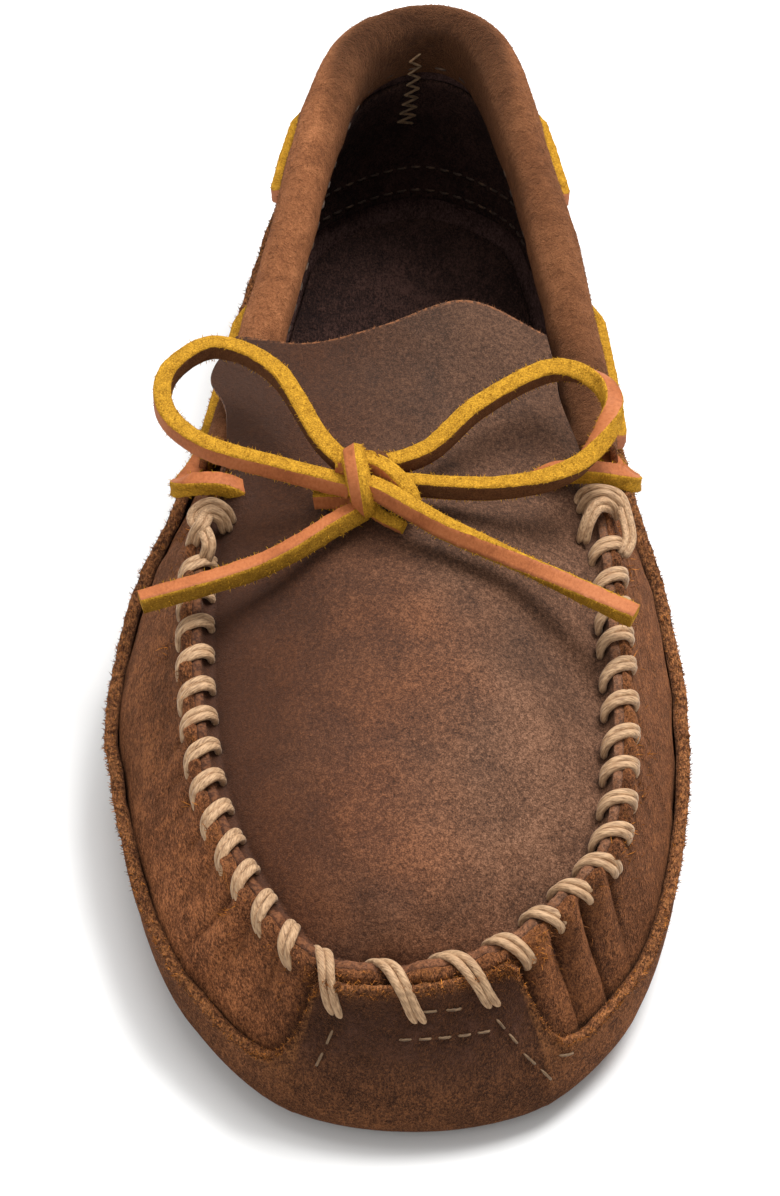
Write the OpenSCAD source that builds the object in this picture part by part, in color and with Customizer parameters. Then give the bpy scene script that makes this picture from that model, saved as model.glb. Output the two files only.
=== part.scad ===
// Moccasin, right shoe: a suede wrap gathered to a plug with a whipstitched ridge seam,
// a second sole layer outside, a rolled collar, and a rawhide lace tied in a bow.
// +Z is up, the toe points along -Y, the big-toe side is +X, and the sole rests on z = 0.

/* [Size] */
// Length over the toe and the heel
shoe_length = 287; // [270:1:300]
// Width over the ball of the foot
shoe_width = 122; // [112:1:128]
// Height of the seam and of the topline, relative to the drawn ones
height_scale = 1; // [0.96:0.01:1.04]

/* [Leather] */
// Thickness of the second sole layer
sole_t = 2; // [1.6:0.1:2.4]
// Thickness of the wrap
wrap_t = 2; // [1.6:0.1:2]
// Thickness of the plug and of the tongue
plug_t = 2; // [1.6:0.1:2]
// Thickness of the folded collar strip
collar_t = 1.7; // [1.4:0.1:1.8]
// Thickness of the foam pad under the sock
foam_t = 3; // [2:0.5:4]

/* [Lace and thread] */
// Width of the square rawhide lace
lace_w = 3.8; // [3.2:0.1:3.8]
// Width of one strand of the seam cord
cord_w = 1.5; // [1.2:0.1:1.6]
// Seam stitches along the big-toe side, from the toe to the throat
side_stitches = 15; // [12:1:16]
// Width of a sewing thread
thread_w = 0.7; // [0.5:0.1:0.8]

/* [Hidden] */

gap = 0.15;             // air between two layers that lie on each other
sides = 22;             // stations around the foot, 0 at the toe, 11 at the heel
heel = sides / 2;
wide_at = 0.35;         // share of the wall below its widest line
seam_end = 6;           // station where the ridge seam stops, on both sides
plug_end = 6.35;        // station where the plug passes into the tongue
hinge_y = -8;           // line across the throat where the tongue bends
drawn = [122, 287];     // width and length at which the stations are drawn
grow = [shoe_width / drawn.x, shoe_length / drawn.y, height_scale];

suede = [0.42, 0.22, 0.13];
suede_light = [0.50, 0.29, 0.18];
suede_dark = [0.24, 0.13, 0.09];
waxed = [0.33, 0.22, 0.17];
rawhide = [0.86, 0.52, 0.20];
cord = [0.78, 0.66, 0.47];
foam = [0.75, 0.70, 0.60];

// Stations run from the toe along the big-toe side to the heel and back along the other.
// Edge of the patch that touches the floor.
FLOOR = [[5, -134], [24, -130], [37, -118], [45, -103], [50, -79], [50, -48], [45, -15],
         [38, 20], [34, 58], [28, 100], [21, 123], [2, 133], [-19, 122], [-25, 100],
         [-31, 58], [-38, 18], [-46, -14], [-51, -45], [-49, -70], [-44, -92],
         [-36, -112], [-18, -130]];
// Widest line of the wall, with its height.
WIDE = [[5, -143.5, 7], [29, -138.5, 8], [45, -124.5, 10], [54, -107, 13], [60, -80, 16],
        [61, -48, 18], [58, -18, 21], [51, 18, 22], [45.5, 58, 22], [37, 103, 20],
        [28, 130, 18], [2, 143.5, 18], [-26, 129, 18], [-33.5, 103, 20], [-41, 60, 22],
        [-48.5, 18, 22], [-57, -14, 21], [-61, -45, 18], [-58, -70, 17], [-53, -92, 15],
        [-43, -116, 12], [-22, -138, 8]];
// Ridge seam in front, middle of the rolled collar behind.
RIM = [[1, -128.5, 37.5], [20.5, -124, 38.5], [34.5, -112, 41], [44, -99, 44.5], [46.5, -75, 49.5],
       [45.5, -49, 55], [43.5, -22, 59], [40, 20, 61.5], [34, 60, 65], [25, 103, 68.5],
       [17, 128, 70], [3.5, 135.5, 70.5], [-12, 127, 70], [-20, 103, 68.5],
       [-27, 60, 65], [-34.5, 15, 61.5], [-41, -23, 59], [-42, -47, 55.5],
       [-40.5, -70, 51], [-36.5, -92, 47], [-27, -112.5, 42.3], [-14.5, -126, 38.5]];
// Height of the second layer's cut edge beside the toe tab, on the sides and behind.
SOLE_EDGE = [17, 17, 18, 20, 22, 23, 26, 30, 31, 32, 33, 34, 33, 32, 31, 30, 26, 22, 21,
             20, 18, 16];

function lerp(a, b, t) = a + (b - a) * t;
function unit(v) = v / norm(v);
function smooth(a, b, x) = let (t = max(0, min(1, (x - a) / (b - a)))) t * t * (3 - 2 * t);
function spline(a, b, c, d, t) =
    0.5 * (2 * b + (c - a) * t + (2 * a - 5 * b + 4 * c - d) * t * t
           + (3 * b - a - 3 * c + d) * t * t * t);
function around(list, u) =
    let (n = len(list), i = floor(u), k = (i % n + n) % n)
    spline(list[(k + n - 1) % n], list[k], list[(k + 1) % n], list[(k + 2) % n], u - i);
function along(list, t) =
    let (n = len(list) - 1, x = max(0, min(1, t)) * n, i = min(n - 1, floor(x)),
         a = list[i], b = list[i + 1],
         before = i > 0 ? list[i - 1] : 2 * a - b,
         after = i < n - 1 ? list[i + 2] : 2 * b - a)
    spline(before, a, b, after, x - i);
function scaled(p) = [p.x * grow.x, p.y * grow.y, p.z * grow.z];
function flat(p, z) = [p.x, p.y, z];
function from_toe(u) = let (m = (u % sides + sides) % sides) min(m, sides - m);

// Share of the collar roll at station u: 0 along the ridge seam, 1 behind the throat.
function behind(u) = smooth(seam_end, seam_end + 0.5, from_toe(u));
function rim(u) = scaled(around(RIM, u));
function wide(u) = scaled(around(WIDE, u));
function floor_edge(u) = let (p = around(FLOOR, u)) [p.x * grow.x, p.y * grow.y, sole_t];
function outward(u) =
    let (t = wide(u + 0.3) - wide(u - 0.3)) unit([t.y, -t.x, 0]);
function rim_outward(u) =
    let (t = rim(u + 0.3) - rim(u - 0.3)) unit([t.y, -t.x, 0]);

// Outer face of the wrap at its cut edge: beside the plug's edge in the ridge seam,
// then inside the collar roll, below its top.
roll_inset = 0.9;
roll_drop = 4.5;
function wrap_edge(u) =
    rim(u) + rim_outward(u) * lerp(wrap_t, -roll_inset, behind(u))
    - [0, 0, roll_drop * behind(u)];

// Face between the wrap and the second sole layer: v is 0 at the floor and 1 at the rim.
seam_bulge = 2.5;
function wall(u, v) =
    let (a = floor_edge(u), m = wide(u) - outward(u) * sole_t, r = wrap_edge(u),
         rise = r.z - m.z, t = (v - wide_at) / (1 - wide_at), s = 90 * v / wide_at,
         c1 = m + [0, 0, 0.4 * rise],
         c2 = r + rim_outward(u) * seam_bulge * (1 - behind(u)) - [0, 0, 0.4 * rise])
    v < wide_at
        ? flat(lerp(a, m, sin(s)), lerp(a.z, m.z, 1 - cos(s)))
        : m * pow(1 - t, 3) + c1 * 3 * t * pow(1 - t, 2) + c2 * 3 * t * t * (1 - t)
          + r * pow(t, 3);
function wall_normal(u, v) =
    v <= 0 ? [0, 0, -1] :
    let (e = 0.02, w = min(v, 1 - e))
    unit(cross(wall(u + e, w) - wall(u - e, w), wall(u, w + e) - wall(u, w - e)));
function layer(u, v, d) = wall(u, v) + wall_normal(u, v) * d;
// Share of the wall at height z, above the widest line.
function share_at(u, z) =
    let (m = wide(u), r = wrap_edge(u))
    wide_at + (1 - wide_at) * max(0.02, min(1, (z - m.z) / (r.z - m.z)));

// Rows of points up the wall: the lower ones stand at the same shares in every layer.
low_rows = 4;
function row_share(i, rows, top) =
    i <= low_rows ? wide_at * i / low_rows
                  : lerp(wide_at, top, (i - low_rows) / (rows - low_rows));

// Closed shell between two offsets of the wall, with a flat bottom, up to share top(u).
// The bottom is filled in from both sides to a line along the middle of the foot.
midline_reach = 95;
module bowl(d_in, d_out, top, columns = 88, rows = 9) {
    half = columns / 2;
    ring = [for (j = [0:columns - 1]) j];
    function u_of(j) = sides * j / columns;
    function fold(j) = min(j % columns, columns - j % columns);
    function spine(k, d) =
        let (a = floor_edge(u_of(k)), b = floor_edge(-u_of(k)), f = k / half)
        [lerp(a.x, b.x, 0.5), lerp(-midline_reach, midline_reach, f) * grow.y, sole_t - d];
    function grid(d) =
        [for (i = [0:rows], j = ring) layer(u_of(j), row_share(i, rows, top(u_of(j))), d)];
    count = columns * (rows + 1);
    points = concat(grid(d_out), grid(d_in), [for (k = [0:half]) spine(k, d_out)],
                    [for (k = [0:half]) spine(k, d_in)]);
    function at(i, j, side) = side * count + i * columns + j % columns;
    function mid(j, side) = 2 * count + side * (half + 1) + fold(j);
    function quads(side, i, j) =
        let (a = at(i, j, side), b = at(i, j + 1, side), c = at(i + 1, j + 1, side),
             d = at(i + 1, j, side))
        side == 0 ? [[a, c, b], [a, d, c]] : [[a, b, c], [a, c, d]];
    function floor_faces(side, j) =
        let (a = at(0, j, side), b = at(0, j + 1, side), c = mid(j + 1, side),
             d = mid(j, side))
        side == 0 ? [[a, b, c], [a, c, d]] : [[a, c, b], [a, d, c]];
    function edge_faces(j) =
        let (a = at(rows, j, 0), b = at(rows, j + 1, 0), c = at(rows, j + 1, 1),
             d = at(rows, j, 1))
        [[a, c, b], [a, d, c]];
    polyhedron(points, concat(
        [for (side = [0, 1], i = [0:rows - 1], j = ring, f = quads(side, i, j)) f],
        [for (side = [0, 1], j = ring, f = floor_faces(side, j)) f],
        [for (j = ring, f = edge_faces(j)) f]));
}

// Closed slab between two grids of points, upper(a, b) and lower(a, b), a and b from 0 to 1.
module slab(na, nb, upper, lower) {
    count = (na + 1) * (nb + 1);
    points = concat([for (i = [0:na], j = [0:nb]) upper(i / na, j / nb)],
                    [for (i = [0:na], j = [0:nb]) lower(i / na, j / nb)]);
    function at(i, j, side) = side * count + i * (nb + 1) + j;
    function quad(p, q, r, s) = [[p, q, r], [p, r, s]];
    polyhedron(points, concat(
        [for (i = [0:na - 1], j = [0:nb - 1])
            each quad(at(i, j, 0), at(i + 1, j, 0), at(i + 1, j + 1, 0), at(i, j + 1, 0))],
        [for (i = [0:na - 1], j = [0:nb - 1])
            each quad(at(i, j, 1), at(i, j + 1, 1), at(i + 1, j + 1, 1), at(i + 1, j, 1))],
        [for (i = [0:na - 1])
            each quad(at(i, 0, 0), at(i, 0, 1), at(i + 1, 0, 1), at(i + 1, 0, 0))],
        [for (i = [0:na - 1])
            each quad(at(i, nb, 0), at(i + 1, nb, 0), at(i + 1, nb, 1), at(i, nb, 1))],
        [for (j = [0:nb - 1])
            each quad(at(0, j, 0), at(0, j + 1, 0), at(0, j + 1, 1), at(0, j, 1))],
        [for (j = [0:nb - 1])
            each quad(at(na, j, 0), at(na, j, 1), at(na, j + 1, 1), at(na, j + 1, 0))]));
}

// Strand whose section, a list of [across, up] points, follows a path of points.
module strand(path, section, up = [0, 0, 1]) {
    n = len(path) - 1;
    m = len(section);
    function tangent(i) = unit(path[min(n, i + 1)] - path[max(0, i - 1)]);
    function place(i) =
        let (t = tangent(i), across = unit(cross(t, up)), rise = cross(across, t))
        [for (s = section) path[i] + across * s.x + rise * s.y];
    points = [for (i = [0:n]) each place(i)];
    polyhedron(points, concat(
        [[for (k = [0:m - 1]) k]],
        [for (i = [0:n - 1], k = [0:m - 1])
            each let (a = i * m + k, b = i * m + (k + 1) % m)
            [[a, a + m, b + m], [a, b + m, b]]],
        [[for (k = [0:m - 1]) n * m + m - 1 - k]]));
}
function box_section(w, t) = [[-w, -t], [-w, t], [w, t], [w, -t]] / 2;
function round_section(w, n) =
    [for (k = [0:n - 1]) [-cos(360 * k / n), sin(360 * k / n)] * w / 2];

// The second sole layer rises to the seam in a tab over the toe, with steep sides that run
// out in a hollow curve into the sole's edge.
tab_big_toe_side = 1.15;    // station where the tab's side starts
tab_little_toe_side = 0.8;
tab_flare = 0.7;            // stations from there to the foot of the curve
tab_top = 0.985;
function sole_share(u) =
    let (big_toe = (u % sides + sides) % sides < heel,
         half = big_toe ? tab_big_toe_side : tab_little_toe_side,
         tab = pow(1 - smooth(half, half + tab_flare, from_toe(u)), 2))
    min(tab_top, lerp(share_at(u, around(SOLE_EDGE, u) * height_scale), tab_top, tab));

sole_gap = 0.375;
module outer_sole() {
    color(suede) bowl(sole_gap, sole_t, function(u) sole_share(u));
}

module upper_wrap() {
    color(suede) bowl(-wrap_t, 0, function(u) 1);
}

// The plug: a dome from a line along its middle to the ridges, turned up along its edge
// into the ridge seam. Its section has four places: the middle line, the foot of the
// turned-up lip, and the inner and the outer corner of the lip's cut edge.
lip_h = 3.8;
lip_foot = 4.2;         // from the seam line to the foot of the lip
flat_foot = 7;          // the same behind the seam, where the edge lies flat
flat_rise = 1.2;
edge_t = 0.8;           // cut edge where it lies flat under the collar ends
tuck = 3.6;
middle_x = 2;
middle_toe = -110;
crown_toe = 49;
crown_throat = 67.5;
function plug_section(u) =
    let (c = rim(u), w = -rim_outward(u), f = from_toe(u) / plug_end,
         up = 1 - smooth(seam_end - 0.1, plug_end, from_toe(u)),
         crown = lerp(crown_toe, crown_throat, f * (2 - f)) * height_scale,
         middle = [middle_x * grow.x, lerp(middle_toe, hinge_y, f) * grow.y, crown],
         foot = c + w * lerp(flat_foot, lip_foot, up) + [0, 0, lerp(flat_rise, -lip_h, up)],
         inset = gap + tuck * behind(u))
    [middle, foot, c + w * (inset + lerp(edge_t, plug_t, up)), c + w * inset];
function dome(middle, foot, r) = flat(lerp(middle, foot, r), lerp(middle.z, foot.z, r * r));
module plug() {
    columns = 52;
    rings = 5;
    function u_of(j) = lerp(-plug_end, plug_end, j / columns);
    // radial lines of points from the middle to the cut edge, above and below
    function over(j) =
        let (s = plug_section(u_of(j)))
        concat([for (i = [1:rings]) dome(s[0], s[1], i / rings)],
               [lerp(s[1], s[2], 0.6) - [0, 0, 0.4], s[2]]);
    function under(j) =
        let (s = plug_section(u_of(j)))
        concat([for (i = [1:rings]) dome(s[0], s[1], i / rings) - [0, 0, plug_t]],
               [flat(s[3], s[1].z - plug_t), s[3]]);
    m = rings + 2;
    count = (columns + 1) * m;
    half = columns / 2;
    points = concat([for (j = [0:columns]) each over(j)], [for (j = [0:columns]) each under(j)],
                    [for (k = [half:columns]) plug_section(u_of(k))[0]],
                    [for (k = [half:columns]) plug_section(u_of(k))[0] - [0, 0, plug_t]]);
    function at(j, i, side) = side * count + j * m + i;
    function mid(j, side) = 2 * count + side * (half + 1) + abs(j - half);
    function quad(p, q, r, s, side) =
        side == 0 ? [[p, r, q], [p, s, r]] : [[p, q, r], [p, r, s]];
    color(waxed) polyhedron(points, concat(
        [for (side = [0, 1], j = [0:columns - 1], i = [0:m - 2])
            each quad(at(j, i, side), at(j, i + 1, side), at(j + 1, i + 1, side),
                      at(j + 1, i, side), side)],
        [for (side = [0, 1], j = [0:columns - 1])
            each quad(mid(j, side), at(j, 0, side), at(j + 1, 0, side), mid(j + 1, side), side)],
        [for (j = [0:columns - 1])
            each quad(at(j, m - 1, 0), at(j, m - 1, 1), at(j + 1, m - 1, 1),
                      at(j + 1, m - 1, 0), 0)],
        [for (i = [0:m - 2])
            each quad(at(0, i, 0), at(0, i, 1), at(0, i + 1, 1), at(0, i + 1, 0), 0)],
        [for (i = [0:m - 2])
            each quad(at(columns, i, 0), at(columns, i + 1, 0), at(columns, i + 1, 1),
                      at(columns, i, 1), 0)],
        quad(mid(0, 0), mid(0, 1), at(0, 0, 1), at(0, 0, 0), 0),
        quad(mid(columns, 0), at(columns, 0, 0), at(columns, 0, 1), mid(columns, 1), 0)));
}

// The tongue: a curved flap behind the plug, its left edge lapped over the collar.
TONGUE = [
    [[-32.3, -11.9, 61.2], [-15, -9.8, 66], [2, -7.7, 67.5], [19, -8.1, 66], [35.3, -8.5, 61.2]],
    [[-36, 2, 65.2], [-17, 2, 68.5], [0, 2, 71], [18, 2, 70], [34, 2, 66]],
    [[-41, 12, 66.6], [-21, 11, 69.5], [-3, 11, 73], [16, 12, 75], [33, 11, 70]],
    [[-36, 22.5, 69], [-20, 17.5, 72], [-4, 18.5, 76.5], [14, 23, 80], [31, 18.5, 74]]];
function tongue_at(a, b) = scaled(along([for (row = TONGUE) along(row, b)], a));
module tongue() {
    color(waxed) slab(8, 14, function(a, b) tongue_at(a, b),
                      function(a, b) tongue_at(a, b) - [0, 0, plug_t]);
}

// The collar: a strip folded over the topline, hollow under its fold for the lace.
collar_front = 6.52;    // station where the collar starts, on both sides
outer_flap = 15;        // depth of the flaps below the rim line
inner_flap = 13;
flap_gap = 0.3;
roll_half = 5.3;        // half the width of the fold
roll_top = 1.5;         // its top above the rim line
roll_deep = 6.5;        // depth down to which it keeps its width
function on_wall(u, depth, d) = layer(u, share_at(u, rim(u).z - depth), d);
function collar_section(u) =
    let (c = rim(u), o = rim_outward(u), t = collar_t, w = roll_half, top = roll_top,
         from = function(out, down) c + o * out - [0, 0, down])
    [on_wall(u, outer_flap, flap_gap + t), from(w, roll_deep), from(w - 1, 1.2),
     from(0, -top), from(1 - w, 1.2), from(-w, roll_deep),
     on_wall(u, inner_flap, -wrap_t - flap_gap - t), on_wall(u, inner_flap, -wrap_t - flap_gap),
     from(t - w - 0.1, roll_deep), from(t - w + 0.4, 2.5), from(0, t - top),
     from(w - t - 0.5, 2.6), from(w - t, roll_deep), on_wall(u, outer_flap, flap_gap)];
module collar() {
    columns = 44;
    rings = [for (j = [0:columns])
                 collar_section(lerp(collar_front, sides - collar_front, j / columns))];
    m = len(rings[0]);
    // strips between the outer and the inner side of the fold close both ends
    half = m / 2;
    ends = [for (i = [0:half - 2]) [i, i + 1, m - 2 - i, m - 1 - i]];
    last = columns * m;
    color(suede_light) polyhedron([for (r = rings) each r], concat(
        [for (j = [0:columns - 1], i = [0:m - 1])
            each let (a = j * m + i, b = j * m + (i + 1) % m)
            [[a, b, b + m], [a, b + m, a + m]]],
        [for (e = ends) each [[e[0], e[2], e[1]], [e[0], e[3], e[2]]]],
        [for (e = ends) each [[last + e[0], last + e[1], last + e[2]],
                              [last + e[0], last + e[2], last + e[3]]]]));
}

// Stiffening patch inside the back of the heel.
counter_t = 1.4;
counter_gap = 0.4;
counter_reach = 1.75;   // stations on each side of the heel
counter_foot = 0.26;    // share of the wall where it starts
counter_drop = 17;      // from the rim line down to its upper edge
module heel_counter() {
    function at(a, b, d) =
        let (u = lerp(heel - counter_reach, heel + counter_reach, b),
             top = share_at(u, rim(u).z - counter_drop))
        layer(u, lerp(counter_foot, top, a), d);
    color(suede_dark) slab(6, 14, function(a, b) at(a, b, -wrap_t - counter_gap),
                           function(a, b) at(a, b, -wrap_t - counter_gap - counter_t));
}

// Flat footbed layer, its outline the floor patch grown by a margin.
module footbed(z, thick, margin) {
    translate([0, 0, z]) linear_extrude(thick)
        polygon([for (u = [0:0.25:sides - 0.25])
                     let (p = floor_edge(u) + margin * outward(u)) [p.x, p.y]]);
}
floor_inside = sole_t + wrap_t + gap;
sock_t = 1.4;
module foam_pad() {
    color(foam) footbed(floor_inside, foam_t, 0);
}
module sock_liner() {
    color(suede_dark) footbed(floor_inside + foam_t + gap, sock_t, 1);
}

// Seam cord: pairs of strands over the ridge. Stitch 0 is at the middle of the toe, and the
// stitches are wider apart there than along the sides.
seam_step = 0.1;
function seam_lengths(side) =
    [for (u = 0, s = 0; u <= seam_end + seam_step / 2; u = u + seam_step,
          s = s + norm(rim(side * u) - rim(side * (u - seam_step))))
        [s, side * u]];
function stitch_place(k) =
    k >= 0 ? 7.6 * k + 12.2 * (1 - exp(-k / 1.5)) : 7.65 * k - 8.3 * (1 - exp(k / 0.85));
spread = 15 / side_stitches;
stitch_stations =
    [for (k = [1 - side_stitches:side_stitches])
        lookup(abs(stitch_place(k * spread)) * grow.y, seam_lengths(k < 0 ? -1 : 1))];
cord_reach = 3.3;       // half the width of a stitch over the ridge
cord_rise = 3.4;        // its height above its own middle
cord_middle = 2;        // depth of that middle below the ridge
toe_reach = 1.7;        // longer stitches over the three layers at the toe
toe_drop = 3;
module cord_over_ridge(u, slant, shift) {
    c = rim(u);
    o = rim_outward(u);
    along_seam = cross(o, [0, 0, 1]);
    toe = 1 - smooth(0.9, 1.4, from_toe(u));
    reach = cord_reach + toe_reach * toe;
    path = [for (a = [-40, 0, 35, 65, 95, 130, 170, 215])
        c + o * reach * cos(a) + along_seam * (slant * (a - 90) / 130 + shift)
        + [0, 0, cord_rise * sin(a) - cord_middle - (a < 0 ? toe_drop * toe : 0)]];
    strand(path, round_section(cord_w, 5), along_seam);
}
stitch_slant = 2;
pair_apart = 0.52;
module seam_whipstitch() {
    color(cord)
        for (u = stitch_stations, strand_side = [-1, 1])
            cord_over_ridge(u, stitch_slant, strand_side * pair_apart * cord_w);
}
// Cord crossed over itself at each end of the seam.
cross_slant = 2.6;
module lock_knot(side) {
    color(cord)
        for (slant = [-cross_slant, cross_slant])
            cord_over_ridge(side * (seam_end - 0.06), slant, 0);
}

// Sewing stitches: short straight threads along a line of points.
module thread(p, q, away) {
    strand([p, q], box_section(thread_w, thread_w), away);
}
thread_part = 0.7;      // share of each stitch's pitch that shows thread
proud = 0.1;            // middle of a thread above the leather
module stitch_row(from, to, count, line, away) {
    rest = (1 - thread_part) / 2;
    for (i = [0:count - 1])
        let (a = lerp(from, to, (i + rest) / count), b = lerp(from, to, (i + 1 - rest) / count))
            thread(line(a), line(b), away(a));
}
// Row on the sole layer between two places, each a [station, height].
module sole_row(from, to, count) {
    u_at = function(f) lerp(from.x, to.x, f);
    line = function(f) layer(u_at(f), share_at(u_at(f), lerp(from.y, to.y, f)), sole_t + proud);
    color(cord) stitch_row(0, 1, count, line, function(f) wall_normal(u_at(f), 0.6));
}
module toe_tab_stitching() {
    sole_row([-0.05, 25.8], [0.8, 25.5], 5);
    sole_row([0.2, 31.4], [0.62, 31], 3);
}
// Slanting rows that tack the sides of the tab down.
module sole_edge_stitching() {
    sole_row([0.84, 28], [0.98, 21], 2);
    sole_row([0.98, 20], [1.2, 12.5], 2);
    sole_row([1.26, 16.5], [1.5, 15], 1);
    sole_row([-0.62, 28], [-0.74, 17.5], 3);
}
inside_collar = -wrap_t - flap_gap - collar_t - proud;
module collar_stitching() {
    line = function(u) on_wall(u, inner_flap - 1.5, inside_collar);
    ends = collar_front + 0.2;
    color(cord) stitch_row(ends, sides - ends, 44, line, function(u) rim_outward(u));
}
module counter_stitching() {
    reach = counter_reach - 0.2;
    inside = -wrap_t - counter_gap - counter_t - proud;
    color(cord)
        for (share = [counter_foot + 0.04, counter_foot + 0.14])
            stitch_row(heel - reach, heel + reach, 18, function(u) layer(u, share, inside),
                       function(u) wall_normal(u, share));
}
module back_seam_zigzag() {
    turns = 14;
    middle = heel + 0.22;
    half = 0.1;
    upper_end = 7.5;    // depth below the rim line
    lower_end = 40;
    path = [for (i = [0:turns])
                on_wall(middle + (i % 2 == 0 ? half : -half),
                        lerp(upper_end, lower_end, i / turns), inside_collar)];
    color(cord) strand(path, box_section(thread_w, thread_w), [0, 1, 0]);
}

// Lace under the collar fold. It comes out through slits and lies outside the flap between
// the two stations of each window, on both sides.
windows = [[6.75, 7.65], [8.5, 9.15]];
slit = 0.06;
lace_in = [1.7, 6.1];   // outward from the middle of the fold and down from it, under the fold
lace_out = [6.1, 11];   // the same outside the flap
function within(w, f) =
    smooth(w[0] - slit, w[0] + slit, f) * (1 - smooth(w[1] - slit, w[1] + slit, f));
function outside(u) = max([for (w = windows) within(w, from_toe(u))]);
module collar_lace() {
    steps = 96;
    ends = collar_front + 0.1;
    stations = [for (i = [0:steps]) lerp(ends, sides - ends, i / steps)];
    path = [for (u = stations)
                let (f = outside(u))
                rim(u) + rim_outward(u) * lerp(lace_in.x, lace_out.x, f)
                - [0, 0, lerp(lace_in.y, lace_out.y, f)]];
    color(rawhide) strand(path, box_section(lace_w, lace_w));
}

// The rest of the lace: a few places along the middle of each piece, joined by a spline.
function smooth_path(list, steps) = [for (i = [0:steps]) scaled(along(list, i / steps))];
module lace(places, steps) {
    color(rawhide) strand(smooth_path(places, steps), box_section(lace_w, lace_w));
}
module lace_bridge_left() {
    lace([[-46, -11, 51], [-46, -13, 56], [-44.4, -14.5, 60.6], [-41.2, -15, 63.4],
          [-36.6, -15, 63.6], [-33, -15, 61.5], [-32.2, -15, 57]], 16);
}
module lace_bridge_right() {
    lace([[49.4, -11, 51], [49.2, -12.5, 56], [47.4, -13.6, 61], [44.2, -14, 63.8],
          [37.5, -14, 64.6], [31.2, -14, 62.8], [29.8, -14, 58.5]], 16);
}
KNOT = [-6, -28, 72];
// The lace turned once around its two crossing parts, and the end that comes out of the plug.
module lace_knot() {
    wrap = [for (a = [0:20:350])
                scaled(KNOT + [0.5 * sin(a), 5.4 * cos(a), 3.6 * sin(a)])];
    color(rawhide) strand(wrap, box_section(2.2, lace_w), [1, 0, 0]);
    lace([KNOT + [-2, -2, -0.4], KNOT + [2, -1, 0.4]], 1);
    lace([KNOT + [-2, 2, 0.4], KNOT + [2, 2, -0.4]], 1);
    lace([[-17.5, -29, 63.5], [-14, -29.5, 66.5], [-8, -29, 70]], 6);
}
module bow_loop_left() {
    lace([[-12.4, -24, 75.3], [-16.5, -17.5, 76.2], [-26.5, 0, 79], [-39.5, 6.5, 80],
          [-49, -0.5, 78.5], [-49, -11, 76.8], [-40.5, -19, 75], [-24.5, -24.5, 74.2],
          [-12.9, -29, 73.5]], 28);
}
module bow_loop_right() {
    lace([[-1.4, -23.2, 74.8], [6, -19.5, 75], [16.5, -9.5, 78.5], [31.5, 0.5, 80],
          [42, -1.5, 78.5], [44.5, -10, 77], [37, -22, 73.5], [21, -27.5, 72.3],
          [-1.6, -27.4, 73.5]], 28);
}
module lace_tail_left() {
    lace([[-10.6, -34.6, 70.2], [-22, -41.6, 67], [-32, -45.6, 64.6], [-52.5, -52, 62]], 10);
}
module lace_tail_right() {
    lace([[-1, -32.6, 74.8], [11, -36.6, 71.4], [24, -43, 67.6], [49, -55, 63]], 10);
}

outer_sole();
upper_wrap();
plug();
tongue();
collar();
heel_counter();
foam_pad();
sock_liner();
seam_whipstitch();
lock_knot(-1);  // lock_knot_left
lock_knot(1);  // lock_knot_right
toe_tab_stitching();
sole_edge_stitching();
collar_stitching();
counter_stitching();
back_seam_zigzag();
collar_lace();
lace_bridge_left();
lace_bridge_right();
lace_knot();
bow_loop_left();
bow_loop_right();
lace_tail_left();
lace_tail_right();
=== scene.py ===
import math
import bmesh
import bpy
import numpy as np
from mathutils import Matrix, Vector


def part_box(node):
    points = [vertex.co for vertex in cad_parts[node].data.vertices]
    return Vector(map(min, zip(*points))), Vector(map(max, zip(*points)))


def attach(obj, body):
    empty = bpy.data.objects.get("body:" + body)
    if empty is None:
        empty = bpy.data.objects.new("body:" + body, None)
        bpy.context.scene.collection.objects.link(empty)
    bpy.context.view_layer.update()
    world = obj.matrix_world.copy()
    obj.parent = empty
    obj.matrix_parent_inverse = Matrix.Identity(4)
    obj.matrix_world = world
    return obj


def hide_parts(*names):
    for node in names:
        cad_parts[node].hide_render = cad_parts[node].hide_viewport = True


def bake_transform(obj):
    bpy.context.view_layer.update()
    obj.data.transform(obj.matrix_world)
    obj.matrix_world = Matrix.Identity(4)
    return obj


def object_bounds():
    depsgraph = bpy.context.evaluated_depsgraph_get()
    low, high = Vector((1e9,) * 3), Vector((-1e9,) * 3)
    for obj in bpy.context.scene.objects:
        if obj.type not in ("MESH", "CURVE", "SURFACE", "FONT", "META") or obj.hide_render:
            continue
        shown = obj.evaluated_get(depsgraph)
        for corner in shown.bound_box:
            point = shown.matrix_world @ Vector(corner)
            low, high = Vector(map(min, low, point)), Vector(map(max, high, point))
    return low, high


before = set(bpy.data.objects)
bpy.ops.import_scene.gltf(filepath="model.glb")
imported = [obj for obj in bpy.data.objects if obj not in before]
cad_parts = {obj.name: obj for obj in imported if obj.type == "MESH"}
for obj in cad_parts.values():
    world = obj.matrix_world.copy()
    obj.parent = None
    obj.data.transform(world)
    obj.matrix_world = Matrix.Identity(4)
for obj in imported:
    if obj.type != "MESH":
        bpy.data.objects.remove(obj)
cad_low, cad_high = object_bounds()

# -------- size and place
# The shoe is drawn in millimetres, toe along -Y, sole on z = 0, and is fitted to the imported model
# by GROW. Lights and camera are in metres.
DRAWN_SOLE = (122.09, 286.99)
DRAWN_TOP = 81.9
sole_low, sole_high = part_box("outer_sole")
MM = 0.001
GROW = np.array([(sole_high.x - sole_low.x) / DRAWN_SOLE[0],
                 (sole_high.y - sole_low.y) / DRAWN_SOLE[1],
                 cad_high.z / DRAWN_TOP]) / MM

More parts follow.
